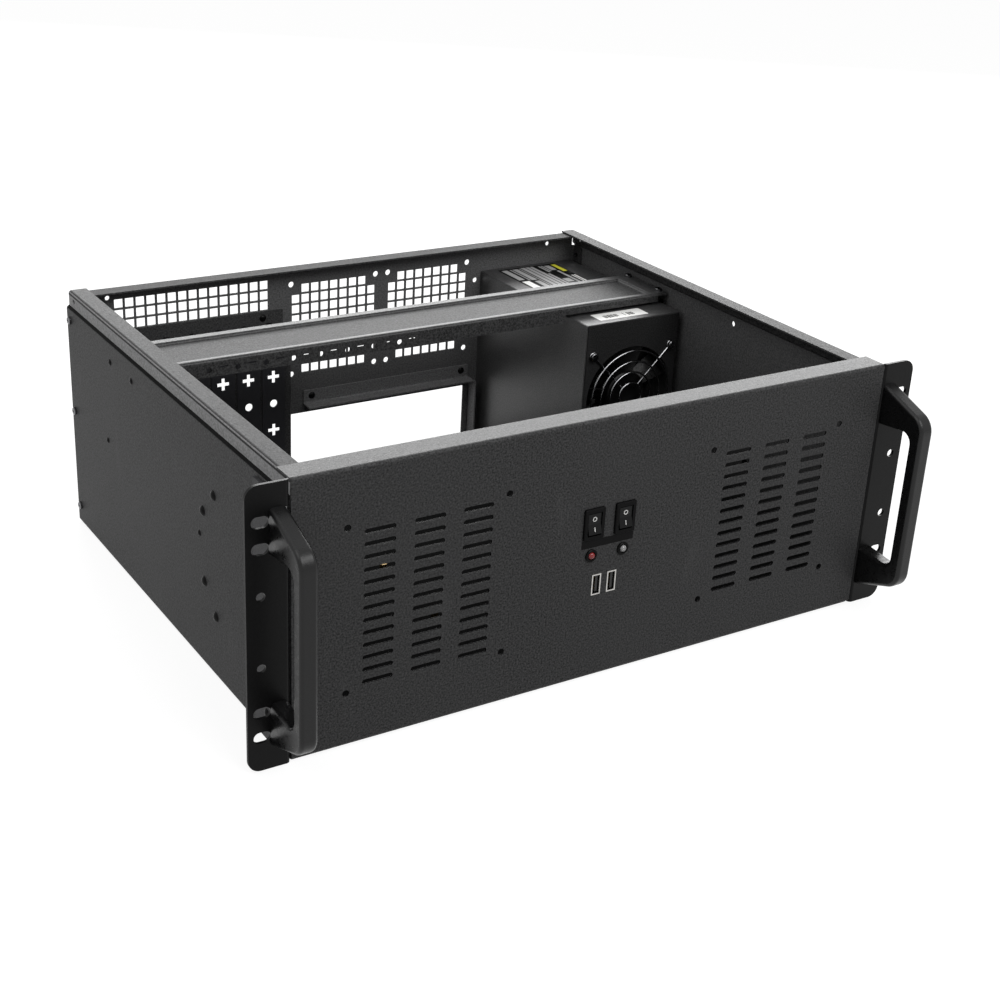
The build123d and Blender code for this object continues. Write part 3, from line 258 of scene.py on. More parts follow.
def make_piece(name, surface, finish, body, smooth=True):
    """A mesh object from a surface, with its poles merged and its finish, riding on a body."""
    points, faces = surface
    mesh = bpy.data.meshes.new(name)
    mesh.from_pydata(points.tolist(), [], faces.tolist())
    shape = bmesh.new()
    shape.from_mesh(mesh)
    bmesh.ops.remove_doubles(shape, verts=shape.verts, dist=MERGE_DISTANCE)
    shape.to_mesh(mesh)
    shape.free()
    mesh.validate()
    mesh.polygons.foreach_set("use_smooth", np.full(len(mesh.polygons), smooth))
    mesh.materials.append(finish)
    piece = bpy.data.objects.new(name, mesh)
    bpy.context.scene.collection.objects.link(piece)
    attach(piece, body)
    return piece


# ---------------------------------------------------------------- finishes


class Finish:
    """A procedural material: one shader, fed by noise in the piece's own coordinates."""

    def __init__(self, name):
        self.material = bpy.data.materials.new(name)
        self.material.use_nodes = True
        self.nodes = self.material.node_tree.nodes
        self.links = self.material.node_tree.links
        self.shader = self.nodes["Principled BSDF"]
        self.place = self.nodes.new("ShaderNodeTexCoord").outputs["Object"]

    def set(self, **values):
        """The shader's inputs by name, with an underscore for a space."""
        for name, value in values.items():
            self.shader.inputs[name.replace("_", " ")].default_value = value
        return self

    def noise(self, size, detail, roughness, stretch=(1.0, 1.0, 1.0)):
        """Noise whose grains are about size metres across, stretched by the three factors."""
        mapping = self.nodes.new("ShaderNodeMapping")
        mapping.inputs["Scale"].default_value = stretch
        self.links.new(self.place, mapping.inputs["Vector"])
        texture = self.nodes.new("ShaderNodeTexNoise")
        texture.inputs["Scale"].default_value = 1.0 / size
        texture.inputs["Detail"].default_value = detail
        texture.inputs["Roughness"].default_value = roughness
        self.links.new(mapping.outputs["Vector"], texture.inputs["Vector"])
        return texture.outputs["Fac"]

    def spread(self, source, low, high, to_low, to_high):
        """The source's low to high mapped to the range given."""
        node = self.nodes.new("ShaderNodeMapRange")
        for name, value in (
            ("From Min", low), ("From Max", high), ("To Min", to_low), ("To Max", to_high),
        ):
            node.inputs[name].default_value = value
        self.links.new(source, node.inputs["Value"])
        return node.outputs["Result"]

    def blend(self, factor, first, second):
        """A mix of two colours or colour sockets by a factor socket."""
        node = self.nodes.new("ShaderNodeMix")
        node.data_type = "RGBA"
        self.links.new(factor, node.inputs["Factor"])
        for index, value in zip(MIX_COLOURS, (first, second)):
            socket = node.inputs[index]
            if isinstance(value, bpy.types.NodeSocket):
                self.links.new(value, socket)
            else:
                socket.default_value = (*value, 1.0)
        return node.outputs[MIX_RESULT]

    def math(self, operation, *values):
        """The named operation on two or three values, each a number or a socket."""
        node = self.nodes.new("ShaderNodeMath")
        node.operation = operation
        for socket, value in zip(node.inputs, values):
            if isinstance(value, bpy.types.NodeSocket):
                self.links.new(value, socket)
            else:
                socket.default_value = value
        return node.outputs[0]

    def zone(self, *limits):
        """1 inside the box of limits and 0 outside.

        A limit is an axis and its low and high distance from the middle. One whose fourth value
        is true rises evenly from 0 at its low distance to 1 at its high one.
        """
        axes = self.nodes.new("ShaderNodeSeparateXYZ")
        self.links.new(self.place, axes.inputs[0])
        inside = 1.0
        for axis, low, high, *fades in limits:
            distance = self.math("ABSOLUTE", axes.outputs[axis])
            within = self.math("COMPARE", distance, (low + high) / 2, (high - low) / 2)
            inside = self.math("MULTIPLY", inside, within)
            if any(fades):
                inside = self.math("MULTIPLY", inside, self.spread(distance, low, high, 0.0, 1.0))
        return inside

    def colour(self, source):
        """The base colour from a socket."""
        self.links.new(source, self.shader.inputs["Base Color"])

    def rough(self, source):
        """The roughness from a socket."""
        self.links.new(source, self.shader.inputs["Roughness"])

    def bump(self, source, height, strength, below=None):
        """Relief of that height in metres, laid over an earlier relief."""
        node = self.nodes.new("ShaderNodeBump")
        node.inputs["Strength"].default_value = strength
        node.inputs["Distance"].default_value = height
        self.links.new(source, node.inputs["Height"])
        if below is not None:
            self.links.new(below, node.inputs["Normal"])
        self.links.new(node.outputs["Normal"], self.shader.inputs["Normal"])
        return node.outputs["Normal"]


def tint(colour, factor):
    """A colour made lighter or darker by a factor."""
    return tuple(min(1.0, c * factor) for c in colour)


def powder_coat(name, colour, grain, roughness, specular, relief, zones=()):
    """Textured paint: pebbles, a slow drift of tone, faint dull rubs and zones of another tone."""
    finish = Finish(name).set(Specular_IOR_Level=specular)
    pebble = finish.noise(grain, detail=2.0, roughness=0.55)
    fine = finish.noise(grain * 0.45, detail=2.0, roughness=0.5)
    drift = finish.noise(0.09, detail=3.0, roughness=0.5)
    rubs = finish.noise(0.035, detail=5.0, roughness=0.7, stretch=(1.0, 1.0, 0.35))
    rubs = finish.spread(rubs, 0.6, 0.82, 0.0, 0.55)
    pits = finish.spread(pebble, *NOISE_RANGE, 0.0, 1.0)
    grained = finish.blend(pits, tint(colour, 0.3), tint(colour, 1.7))
    drift = finish.spread(drift, *NOISE_RANGE, 0.0, 0.35)
    toned = finish.blend(drift, grained, tint(colour, 1.25))
    painted = finish.blend(rubs, toned, tint(colour, 1.9))
    level = specular
    # Zones of another tone laid over the paint; most are painted light and shade.
    for limits, tone, shine in zones:
        zone = finish.zone(*limits)
        grained = finish.blend(pits, tint(colour, tone * 0.65), tint(colour, tone * 1.35))
        painted = finish.blend(zone, painted, grained)
        level = finish.math("MULTIPLY_ADD", zone, specular * (shine - 1.0), level)
    if zones:
        finish.links.new(level, finish.shader.inputs["Specular IOR Level"])
    finish.colour(painted)
    finish.rough(finish.spread(fine, *NOISE_RANGE, roughness - 0.08, roughness + 0.1))
    coarse = finish.bump(pebble, relief, 0.9)
    finish.bump(fine, relief * 0.5, 0.6, coarse)
    return finish.material


def moulded_plastic(name, colour, roughness, grain=0.0004, relief=0.00002, specular=0.5):
    """Moulded plastic: a fine etched skin, slightly uneven gloss and small handling marks."""
    finish = Finish(name).set(Specular_IOR_Level=specular)
    skin = finish.noise(grain, detail=2.0, roughness=0.5)
    marks = finish.noise(0.006, detail=4.0, roughness=0.7)
    marks = finish.spread(marks, 0.55, 0.8, 0.0, 0.5)
    finish.colour(finish.blend(marks, tint(colour, 0.9), tint(colour, 1.6)))
    haze = finish.noise(0.004, detail=3.0, roughness=0.6)
    finish.rough(finish.spread(haze, *NOISE_RANGE, roughness - 0.06, roughness + 0.08))
    finish.bump(skin, relief, 0.7)
    return finish.material


def bare_metal(name, colour, roughness, grain=0.0015):
    """Plated metal: a fine mottle in colour and gloss, darker stains and a light relief."""
    finish = Finish(name).set(Metallic=1.0)
    mottle = finish.noise(grain, detail=4.0, roughness=0.6)
    stain = finish.noise(0.004, detail=3.0, roughness=0.6)
    stain = finish.spread(stain, 0.5, 0.8, 0.0, 0.6)
    pale = finish.spread(mottle, *NOISE_RANGE, 0.0, 1.0)
    tone = finish.blend(pale, tint(colour, 0.8), tint(colour, 1.12))
    finish.colour(finish.blend(stain, tone, tint(colour, 0.6)))
    finish.rough(finish.spread(mottle, *NOISE_RANGE, roughness - 0.06, roughness + 0.1))
    finish.bump(mottle, METAL_RELIEF, 0.6)
    return finish.material


def lamp_resin(name, colour, transmission):
    """Cast resin of a lamp: faintly cloudy, with tiny ripples."""
    finish = Finish(name).set(Transmission_Weight=transmission, IOR=1.5)
    cloud = finish.noise(0.0012, detail=3.0, roughness=0.6)
    pale = finish.spread(cloud, 0.35, 0.7, 0.0, 1.0)
    finish.colour(finish.blend(pale, tint(colour, 0.8), tint(colour, 1.2)))
    finish.rough(finish.spread(cloud, *NOISE_RANGE, 0.08, 0.2))
    finish.bump(finish.noise(0.002, detail=2.0, roughness=0.5), RESIN_RELIEF, 0.5)
    return finish.material


def printed_film(name, colour, roughness=0.5, specular=0.2):
    """Printed film or paper: fibre mottle, a little dust and a soft sheen."""
    finish = Finish(name).set(Specular_IOR_Level=specular)
    fibre = finish.noise(0.0007, detail=4.0, roughness=0.7)
    dust = finish.noise(0.012, detail=4.0, roughness=0.6)
    dust = finish.spread(dust, 0.5, 0.8, 0.0, 0.5)
    pale = finish.spread(fibre, *NOISE_RANGE, 0.0, 1.0)
    tone = finish.blend(pale, tint(colour, 0.88), tint(colour, 1.06))
    finish.colour(finish.blend(dust, tone, tint(colour, 0.8)))
    finish.rough(finish.spread(fibre, *NOISE_RANGE, roughness - 0.08, roughness + 0.1))
    finish.bump(fibre, FILM_RELIEF, 0.5)
    return finish.material


def circuit_board(name, colour):
    """Solder mask over copper: cloudy green with squared copper runs just raised."""
    finish = Finish(name).set(Specular_IOR_Level=0.5)
    runs = finish.noise(0.0016, detail=0.0, roughness=0.5, stretch=(1.0, 1.0, 0.15))
    cloud = finish.noise(0.003, detail=3.0, roughness=0.6)
    runs = finish.spread(runs, *COPPER_EDGE, 0.0, 1.0)
    traced = finish.blend(runs, colour, tint(colour, 1.6))
    shade = finish.spread(cloud, 0.4, 0.8, 0.0, 0.4)
    finish.colour(finish.blend(shade, traced, tint(colour, 0.6)))
    finish.rough(finish.spread(cloud, *NOISE_RANGE, 0.3, 0.45))
    finish.bump(runs, COPPER_RELIEF, 0.8)
    return finish.material


def coat_nodes(names, material):
    """Gives CAD nodes a finish in every material slot."""
    for name in names:
        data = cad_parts[name].data
        if not data.materials:
            data.materials.append(material)
        for index in range(len(data.materials)):
            data.materials[index] = material


# ---------------------------------------------------------------- what a user can change


def number(label, text, default, **kind):
    """A setting that holds a number."""
    return bpy.props.FloatProperty(name=label, description=text, default=default, **kind)


def size(label, text, default):
    """A setting that holds a length."""
    return number(label, text, default, unit="LENGTH", precision=5)


def amount(label, text, default):
    """A setting that runs from 0 to 1."""
    return number(label, text, default, min=0.0, max=1.0, subtype="FACTOR")


def paint(label, text, default):
    """A setting that holds a colour."""
    return bpy.props.FloatVectorProperty(
        name=label, description=text, default=default, subtype="COLOR", size=3, min=0.0, max=1.0
    )


class RackCasePaint(bpy.types.PropertyGroup):
    case: paint("Case", "Powder coat of the folded sheet", (0.0440, 0.0440, 0.0445))
    ears: paint("Ears", "Smooth paint of the rack ears", (0.0020, 0.0020, 0.0021))
    supply: paint("Power supply", "Paint of the supply's lid", (0.0400, 0.0400, 0.0405))
    supply_front: paint("Supply front", "Paint of the supply's fan side", (0.0190, 0.0190, 0.0193))
    # Painted shade of the base's inside; half again of it darkens the walls' inner faces low down.
    base_shade: number("Base shade", "Tone of the base's inside", 0.2)
    # Tone of the lighter strip just below the walls' tops.
    seat_strip_tone: number("Seat rub", "Tone of the strip the cover rubs", 5.4)
    # Gloss of the top faces, which also carry painted light.
    top_shine: number("Rub shine", "Gloss of the rubbed tops", 5.0)
    # Painted light: how much lighter the inner faces and the port frame are painted.
    inner_painted_light: number("Inside tone", "Tone of the inner faces", 2.3)
    handles: paint("Handles", "Moulded handles", (0.0036, 0.0036, 0.0038))
    switches: paint("Switches", "Switch housings and rockers", (0.0022, 0.0022, 0.0023))
    grain: size("Grain", "Size of the powder coat's pebbles", 0.0012)
    relief: size("Relief", "Height of the pebbles", 0.0001)
    roughness: amount("Roughness", "Roughness of the powder coat", 0.46)
    gloss: amount("Gloss", "Specular level of the powder coat", 0.055)


class RackCaseMarks(bpy.types.PropertyGroup):
    ring_radius: size("Ring radius", "Radius of the off mark", 0.00128)
    bar_length: size("Bar length", "Length of the on mark", 0.0027)
    stroke: size("Stroke", "Line width of both marks", 0.00052)
    film: size("Film", "Thickness of the printed marks", 0.00004)
    place: size("Place", "Distance of both marks from the rocker's middle", 0.0033)
    face_rise: size("Face", "Height of a rocker's flat face over the panel", 0.0011)
    swing: number("Swing", "Angle between a rocker's faces", math.radians(14), subtype="ANGLE")
    colour: paint("Colour", "Printed marks", (0.82, 0.82, 0.80))


class RackCaseGuard(bpy.types.PropertyGroup):
    wire: size("Wire radius", "Radius of the guard's wire", 0.0008)
    outer: size("Outer ring", "Radius of the largest ring's middle line", 0.0357)
    step: size("Ring step", "Distance from ring to ring", 0.0085)
    rings: bpy.props.IntProperty(
        name="Rings", description="Number of rings", default=4, min=2, max=8
    )
    eye: size("Eye", "Radius of the loop round each screw", 0.0028)
    screw_pitch: size("Screw pitch", "Distance between the guard's screws", 0.0715)
    colour: paint("Colour", "Plated wire", (0.34, 0.34, 0.35))


class RackCaseLabels(bpy.types.PropertyGroup):
    film: size("Film", "Thickness of the labels", 0.00012)
    strip_width: size("Strip width", "Width of the plain strip under the switches", 0.0385)
    strip_height: size("Strip height", "Height of the plain strip under the switches", 0.0052)
    small_width: size("Small label width", "White label at the supply's front edge", 0.044)
    small_length: size("Small label depth", "White label at the supply's front edge", 0.014)
    plate_width: size("Plate width", "Large label behind the crossbar", 0.054)
    plate_length: size("Plate depth", "Large label behind the crossbar", 0.066)
    white: paint("White", "White of the labels", (0.82, 0.82, 0.80))
    grey: paint("Grey", "Printed grey of the large label", (0.34, 0.34, 0.34))
    yellow: paint("Yellow", "Small yellow field", (0.62, 0.60, 0.05))
    black: paint("Black", "Black ground and bars", (0.0030, 0.0030, 0.0030))


class RackCaseStage(bpy.types.PropertyGroup):
    lens: number("Lens", "Focal length on a 36 mm sensor", 59.26)
    camera_x: size("Camera X", "Place of the camera", -0.556609)
    camera_y: size("Camera Y", "Place of the camera", -0.902326)
    camera_z: size("Camera Z", "Place of the camera", 0.531809)
    yaw: number("Yaw", "Turn about Z", -0.5812, subtype="ANGLE")
    pitch: number("Pitch", "Tilt down", -0.4272, subtype="ANGLE")
    roll: number("Roll", "Turn about the view", 0.0548, subtype="ANGLE")
    floor: paint("Floor", "Pale floor", (0.22, 0.22, 0.22))
    surround: number("Surround", "Light of the plain surround", 0.5)
    above: number("Above", "Power of the lamp behind", 55.0, unit="POWER")
    top: number("Top", "Power of the lamp straight above", 2.0, unit="POWER")
    left: number("Left", "Power of the lamp at the left", 8.0, unit="POWER")
    before: number("Before", "Power of the lamp in front", 21.0, unit="POWER")


# ---------------------------------------------------------------- operators

SHEET_NODES = (
    "slot_frame",
    "crossbar_bracket_left",
    "crossbar_bracket_right",
)


class RACKCASE_OT_sheet(bpy.types.Operator):
    """Powder coat the folded sheet and the rack ears"""

    bl_idname = "rackcase.sheet"
    bl_label = "Case sheet"

    def execute(self, context):
        look = context.scene.rackcase_paint
        side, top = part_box("chassis")[1].x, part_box("chassis")[1].z
        bar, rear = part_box("crossbar")[1].z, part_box("rear_panel")[1].y
        front_top, rear_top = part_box("front_panel")[1].z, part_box("rear_panel")[1].z
        face = abs(FRONT)

        def inside(axis, outer, far, near):
            """The limit from far to near millimetres in from an outer face."""
            return axis, outer - far * MM, outer - near * MM

        def lit(level, rate):
            """The top faces at a level, with painted light from above and more gloss at a rate."""
            return Zone((inside(Z, level, *TOP_FACE),), tone=1.3, shine=look.top_shine * rate)

        def case_coat(name, zones=()):
            """The case's powder coat with its zones."""
            return powder_coat(
                name, look.case, look.grain, look.roughness, look.gloss, look.relief, zones
            )

        base = ((X, 0.0, side - BASE_EDGE), (Z, *BASE_FACE))
        wall = inside(X, side, *INNER_FACE)
        wall_top = top - STRIP_FOOT
        seat = (inside(X, side, *SEAT_WIDTH), inside(Z, top, *SEAT_DEPTH))
        upper_shadow = (inside(X, side, *UPPER_SHADOW_WIDTH), inside(Z, top, *UPPER_SHADOW_DEPTH))
        lower_shadow = (inside(X, side, *LOWER_SHADOW_WIDTH), inside(Z, top, *LOWER_SHADOW_DEPTH))
        # Painted shade on the cut edges of the front's vents.
        vents = (
            (X, 0.0, VENT_REACH),
            inside(Y, face, *CUT_EDGES),
            (Z, VENT_MARGIN, top - VENT_MARGIN),
        )
        rear_inside = (inside(Y, rear, *INNER_FACE), (Z, REAR_FOOT, top - REAR_HEAD))
        zones = {
            "chassis": (
                # Painted shade on the base and low on the walls' inner faces, fading up into
                # painted light.
                Zone(base, tone=look.base_shade, shine=0.0),
                Zone((wall, (Z, WALL_FOOT, wall_top)), tone=look.base_shade * 1.5, shine=0.2),
                Zone((wall, (Z, WALL_FADE, wall_top, True)), tone=look.inner_painted_light, shine=1.0),
                # A lighter, glossier strip just below the walls' tops.
                Zone(seat, tone=look.seat_strip_tone, shine=2.0),
                # Painted shadow lines along the joggle.
                Zone(upper_shadow, tone=0.2, shine=0.2),
                Zone(lower_shadow, tone=0.2, shine=0.2),
                # Painted light on the top faces of the walls.
                lit(top, rate=0.15),
            ),
            # The vents' cut edges painted dark as shade; painted light on the front's top face.
            "front_panel": (Zone(vents, tone=0.1, shine=0.1), lit(front_top, rate=0.5)),
            "rear_panel": (
                # Painted light on the rear wall's inner face; its top face a little darker and
                # duller.
                Zone(rear_inside, tone=look.inner_painted_light, shine=1.0),
                Zone((inside(Z, rear_top, *TOP_FACE),), tone=0.8, shine=0.4),
            ),
            # Painted light on the crossbar's rims and pan.
            "crossbar": (lit(bar, rate=1.1), lit(bar - PAN_DROP, rate=1.1)),
            # Painted light over the whole port frame.
            "port_frame": (Zone(((Z, 0.0, top),), tone=look.inner_painted_light * 1.4, shine=2.0),),
        }
        coat_nodes(SHEET_NODES, case_coat("case_powder_coat"))
        for node, places in zones.items():
            coat_nodes((node,), case_coat(node + "_coat", places))
        leg = ((X, side, side + EAR_LEG), (Y, 0.0, face - EAR_LEG))
        smooth = powder_coat(
            "ear_paint",
            look.ears,
            look.grain * 0.7,
            look.roughness - 0.08,
            EAR_GLOSS,
            look.relief * 0.4,
            (Zone(leg, tone=look.case[0] / look.ears[0], shine=look.gloss / EAR_GLOSS),),
        )
        coat_nodes(("rack_ear_left", "rack_ear_right"), smooth)
        return {"FINISHED"}


class RACKCASE_OT_fasteners(bpy.types.Operator):
    """Finish the rivets, screws and standoffs"""

    bl_idname = "rackcase.fasteners"
    bl_label = "Rivets and screws"

    def execute(self, context):
        coat_nodes(
            ("ear_rivets", "side_rivets", "bracket_rivets", "frame_rivets"),
            moulded_plastic(
                "rivet_black", (0.003, 0.003, 0.003), 0.25, grain=0.0009, specular=0.08
            ),
        )
        coat_nodes(
            (
                "crossbar_screws",
                "guard_screws",
                "handle_screws",
                "slot_screws",
                "rear_panel_screws",
                "supply_screws",
            ),
            bare_metal("screw_black_zinc", (0.15, 0.15, 0.155), 0.2),
        )
        coat_nodes(
            ("board_standoffs",),
            bare_metal("standoff_brass", (0.24, 0.165, 0.065), 0.36, grain=0.001),
        )
        return {"FINISHED"}


class RACKCASE_OT_handles(bpy.types.Operator):
    """Finish the bow handles"""

    bl_idname = "rackcase.handles"
    bl_label = "Handles"

    def execute(self, context):
        look = context.scene.rackcase_paint
        coat_nodes(
            ("handle_left", "handle_right"),
            moulded_plastic(
                "handle_black", look.handles, 0.3, grain=0.0006, relief=0.00003, specular=0.3
            ),
        )
        return {"FINISHED"}


class RACKCASE_OT_controls(bpy.types.Operator):
    """Finish the switches, lamps and sockets of the front"""

    bl_idname = "rackcase.controls"
    bl_label = "Front controls"

    def execute(self, context):
        look = context.scene.rackcase_paint
        coat_nodes(
            ("reset_switch_body", "power_switch_body", "supply_switch_body"),
            moulded_plastic("switch_housing", look.switches, 0.4, specular=0.06),
        )
        coat_nodes(
            ("reset_rocker", "power_rocker", "supply_rocker"),
            moulded_plastic(
                "switch_rocker",
                tint(look.switches, 1.6),
                0.3,
                grain=0.0005,
                relief=0.00001,
                specular=0.14,
            ),
        )
        coat_nodes(("switch_terminals",), bare_metal("terminal_brass", (0.62, 0.46, 0.2), 0.26))
        coat_nodes(
            ("red_lamp_holder", "clear_lamp_holder"),
            moulded_plastic("lamp_holder", (0.002, 0.002, 0.002), 0.3, specular=0.06),
        )
        coat_nodes(("red_lamp",), lamp_resin("lamp_red", (0.24, 0.005, 0.005), 0.1))
        coat_nodes(("clear_lamp",), lamp_resin("lamp_clear", (0.42, 0.42, 0.42), 0.45))
        coat_nodes(
            ("usb_shell_left", "usb_shell_right"),
            bare_metal("socket_nickel", (0.50, 0.49, 0.47), 0.2),
        )
        coat_nodes(
            ("usb_tongue_left", "usb_tongue_right"),
            moulded_plastic("socket_tongue", (0.008, 0.008, 0.008), 0.4),
        )
        coat_nodes(("usb_board",), circuit_board("socket_board", (0.012, 0.07, 0.025)))
        return {"FINISHED"}


class RACKCASE_OT_supply(bpy.types.Operator):
    """Finish the power supply, its fan and its inlet"""

    bl_idname = "rackcase.supply"
    bl_label = "Power supply"

    def execute(self, context):
        look = context.scene.rackcase_paint
        for node, name, colour, gloss in (
            ("supply_lid", "supply_lid_paint", look.supply, LID_GLOSS),
            ("supply_case", "supply_case_paint", look.supply_front, SUPPLY_GLOSS),
        ):
            coat = powder_coat(
                name, colour, look.grain * 0.8, SUPPLY_ROUGHNESS, gloss, look.relief * 0.6
            )
            coat_nodes((node,), coat)
        coat_nodes(
            ("supply_fan_frame",), moulded_plastic("fan_frame_black", (0.010, 0.010, 0.010), 0.42)
        )
        coat_nodes(
            ("supply_fan_rotor",),
            moulded_plastic("fan_rotor_black", (0.005, 0.005, 0.005), 0.32, specular=0.2),
        )
        coat_nodes(("supply_inlet",), moulded_plastic("inlet_black", (0.012, 0.012, 0.012), 0.36))
        return {"FINISHED"}


class RACKCASE_OT_guard(bpy.types.Operator):
    """Make the fan guard of round wire: rings, four arms and an eye round each screw"""

    bl_idname = "rackcase.guard"
    bl_label = "Fan guard"

    def execute(self, context):
        look = context.scene.rackcase_guard
        middle = (np.array(GUARD_LOW) + np.array(GUARD_HIGH)) / 2
        ring_level = np.array([middle[0], GUARD_LOW.y + look.wire, middle[2]])
        arm_level = np.array([middle[0], GUARD_HIGH.y - look.wire, middle[2]])
        surfaces = []
        for index in range(look.rings):
            radius = look.outer - index * look.step
            surfaces.append(ring_surface(ring_level, RIGHT, UP, radius, look.wire))
        inner = look.outer - (look.rings - 1) * look.step
        for x in (-1, 1):
            for z in (-1, 1):
                outward = (RIGHT * x + UP * z) / math.sqrt(2)
                screw = arm_level + (RIGHT * x + UP * z) * look.screw_pitch / 2
                surfaces.append(ring_surface(screw, RIGHT, UP, look.eye, look.wire, turns=32))
                start = arm_level + outward * (inner - look.wire * 0.4)
                surfaces.append(wire_surface(start, screw - outward * look.eye, BACK, look.wire))
        steel = bare_metal("guard_plated_wire", look.colour, 0.13, grain=0.002)
        guard = make_piece("guard_wires", joined(surfaces), steel, "case")
        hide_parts("supply_fan_guard")
        return {"FINISHED"}


def middle_of(node):
    """The middle of a node's box."""
    low, high = (np.array(corner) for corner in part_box(node))
    return (low + high) / 2


def rocker_marks(middle, across, along, look):
    """A ring on the flat half of a rocker and a bar on the raised half, along its own faces."""
    outward = np.cross(across, along)
    flat = middle + along * look.place + outward * look.face_rise
    slope = math.tan(look.swing)
    raised = middle - along * look.place + outward * (look.face_rise + look.place * slope)
    tilted = along - outward * slope
    tilted = tilted / np.linalg.norm(tilted)
    corner = look.stroke * 0.3
    return joined([
        printed_ring_surface(flat, across, along, look.ring_radius, look.stroke, look.film),
        plate_surface(raised, across, tilted, look.stroke, look.bar_length, look.film, corner),
    ])


class RACKCASE_OT_marks(bpy.types.Operator):
    """Print the ring and the bar on the three rockers"""

    bl_idname = "rackcase.marks"
    bl_label = "Switch marks"

    def execute(self, context):
        look = context.scene.rackcase_marks
        ink = printed_film("mark_ink", look.colour, 0.45)
        supply_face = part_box("supply_case")[1].y
        for node, body, face, across, along in (
            ("reset_rocker", "reset_button", FRONT, RIGHT, UP),
            ("power_rocker", "power_button", FRONT, RIGHT, UP),
            ("supply_rocker", "supply_switch", supply_face, UP, RIGHT),
        ):
            middle = middle_of(node)
            middle[Y] = face
            marks = rocker_marks(middle, across, along, look)
            make_piece(node + "_marks", marks, ink, body, smooth=False)
        return {"FINISHED"}


class RACKCASE_OT_contacts(bpy.types.Operator):
    """Lay four gold contacts along each socket's tongue"""

    bl_idname = "rackcase.contacts"
    bl_label = "Socket contacts"

    def execute(self, context):
        gold = bare_metal("contact_gold", (0.85, 0.60, 0.25), 0.22, grain=0.001)
        for side in ("left", "right"):
            middle = middle_of("usb_shell_" + side)
            middle[X] += TONGUE_FACE + CONTACT_SINK
            middle[Y] = FRONT + CONTACT_PLACE
            strips = [
                plate_surface(middle + UP * level * MM, UP, BACK, *CONTACT_SIZE)
                for level in CONTACT_LEVELS
            ]
            name = "socket_contacts_" + side
            make_piece(name, joined(strips), gold, "case", smooth=False)
        return {"FINISHED"}


class RACKCASE_OT_labels(bpy.types.Operator):
    """Stick the plain strip on the front and the two labels on the power supply"""

    bl_idname = "rackcase.labels"
    bl_label = "Strip and labels"

    def execute(self, context):
        look = context.scene.rackcase_labels
        white = printed_film("label_white", look.white)
        grey = printed_film("label_grey", look.grey)
        yellow = printed_film("label_yellow", look.yellow)
        black = printed_film("label_black", look.black, 0.35, 0.06)
        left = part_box("reset_switch_body")[0].x
        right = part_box("power_switch_body")[1].x
        bezel_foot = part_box("reset_switch_body")[0].z
        level = bezel_foot - STRIP_GAP - look.strip_height / 2
        strip = plate_surface(
            np.array([(left + right) / 2, FRONT, level]),
            RIGHT,
            UP,
            look.strip_width,
            look.strip_height,
            look.film,
            STRIP_CORNER,
        )
        make_piece("control_strip", strip, black, "case", smooth=False)

        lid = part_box("supply_lid")[0]
        corner = np.array([lid.x, lid.y, LID_TOP])

        def field(place, x, y, width, length, layer, edge):
            """A flat field x and y from a label's place, as many films up as its layer."""
            x, y = place[0] + x + width / 2, place[1] + y + length / 2
            middle = corner + np.array([x, y, 0.0]) * MM + UP * look.film * layer
            return plate_surface(
                middle, RIGHT, BACK, width * MM, length * MM, look.film, edge * MM
            )

        def stick(name, surface, ink):
            """A label or its print, as a piece of the case."""
            make_piece(name, surface, ink, "case", smooth=False)

        def printed(place, fields, edge):
            """The fields printed on the label at a place, as one surface."""
            return joined([field(place, *measures, 1, edge) for measures in fields])

        small = (0.0, 0.0, look.small_width / MM, look.small_length / MM)
        large = (0.0, 0.0, look.plate_width / MM, look.plate_length / MM)
        stick("small_label", field(SMALL_PLACE, *small, 0, LABEL_CORNER), white)
        stick("small_label_bars", printed(SMALL_PLACE, BARS, BAR_CORNER), black)
        stick("large_label", field(LARGE_PLACE, *large, 0, LABEL_CORNER), black)
        stick("large_label_fields", printed(LARGE_PLACE, GREY_FIELDS, FIELD_CORNER), grey)
        stick("large_label_brights", printed(LARGE_PLACE, WHITE_FIELDS, FIELD_CORNER), white)
        stick("large_label_yellow", printed(LARGE_PLACE, YELLOW_FIELDS, YELLOW_CORNER), yellow)
        return {"FINISHED"}


def lamp(name, place, power, width, height):
    """An area lamp that faces the middle of the case."""
    data = bpy.data.lights.new(name, "AREA")
    data.shape = "RECTANGLE"
    data.size = width
    data.size_y = height
    data.energy = power
    holder = bpy.data.objects.new(name, data)
    bpy.context.scene.collection.objects.link(holder)
    aim = (Vector(LAMP_AIM) - Vector(place)).to_track_quat("-Z", "Y")
    holder.matrix_world = Matrix.Translation(place) @ aim.to_matrix().to_4x4()
    holder.visible_camera = False


def direct_sight(nodes, links):
    """1 for rays from the camera, a mirror or glass, 0 for the rest."""
    path = nodes.new("ShaderNodeLightPath")
    seen = path.outputs["Is Camera Ray"]
    for kind in ("Is Glossy Ray", "Is Transmission Ray"):
        either = nodes.new("ShaderNodeMath")
        either.operation = "MAXIMUM"
        links.new(seen, either.inputs[0])
        links.new(path.outputs[kind], either.inputs[1])
        seen = either.outputs[0]
    return seen


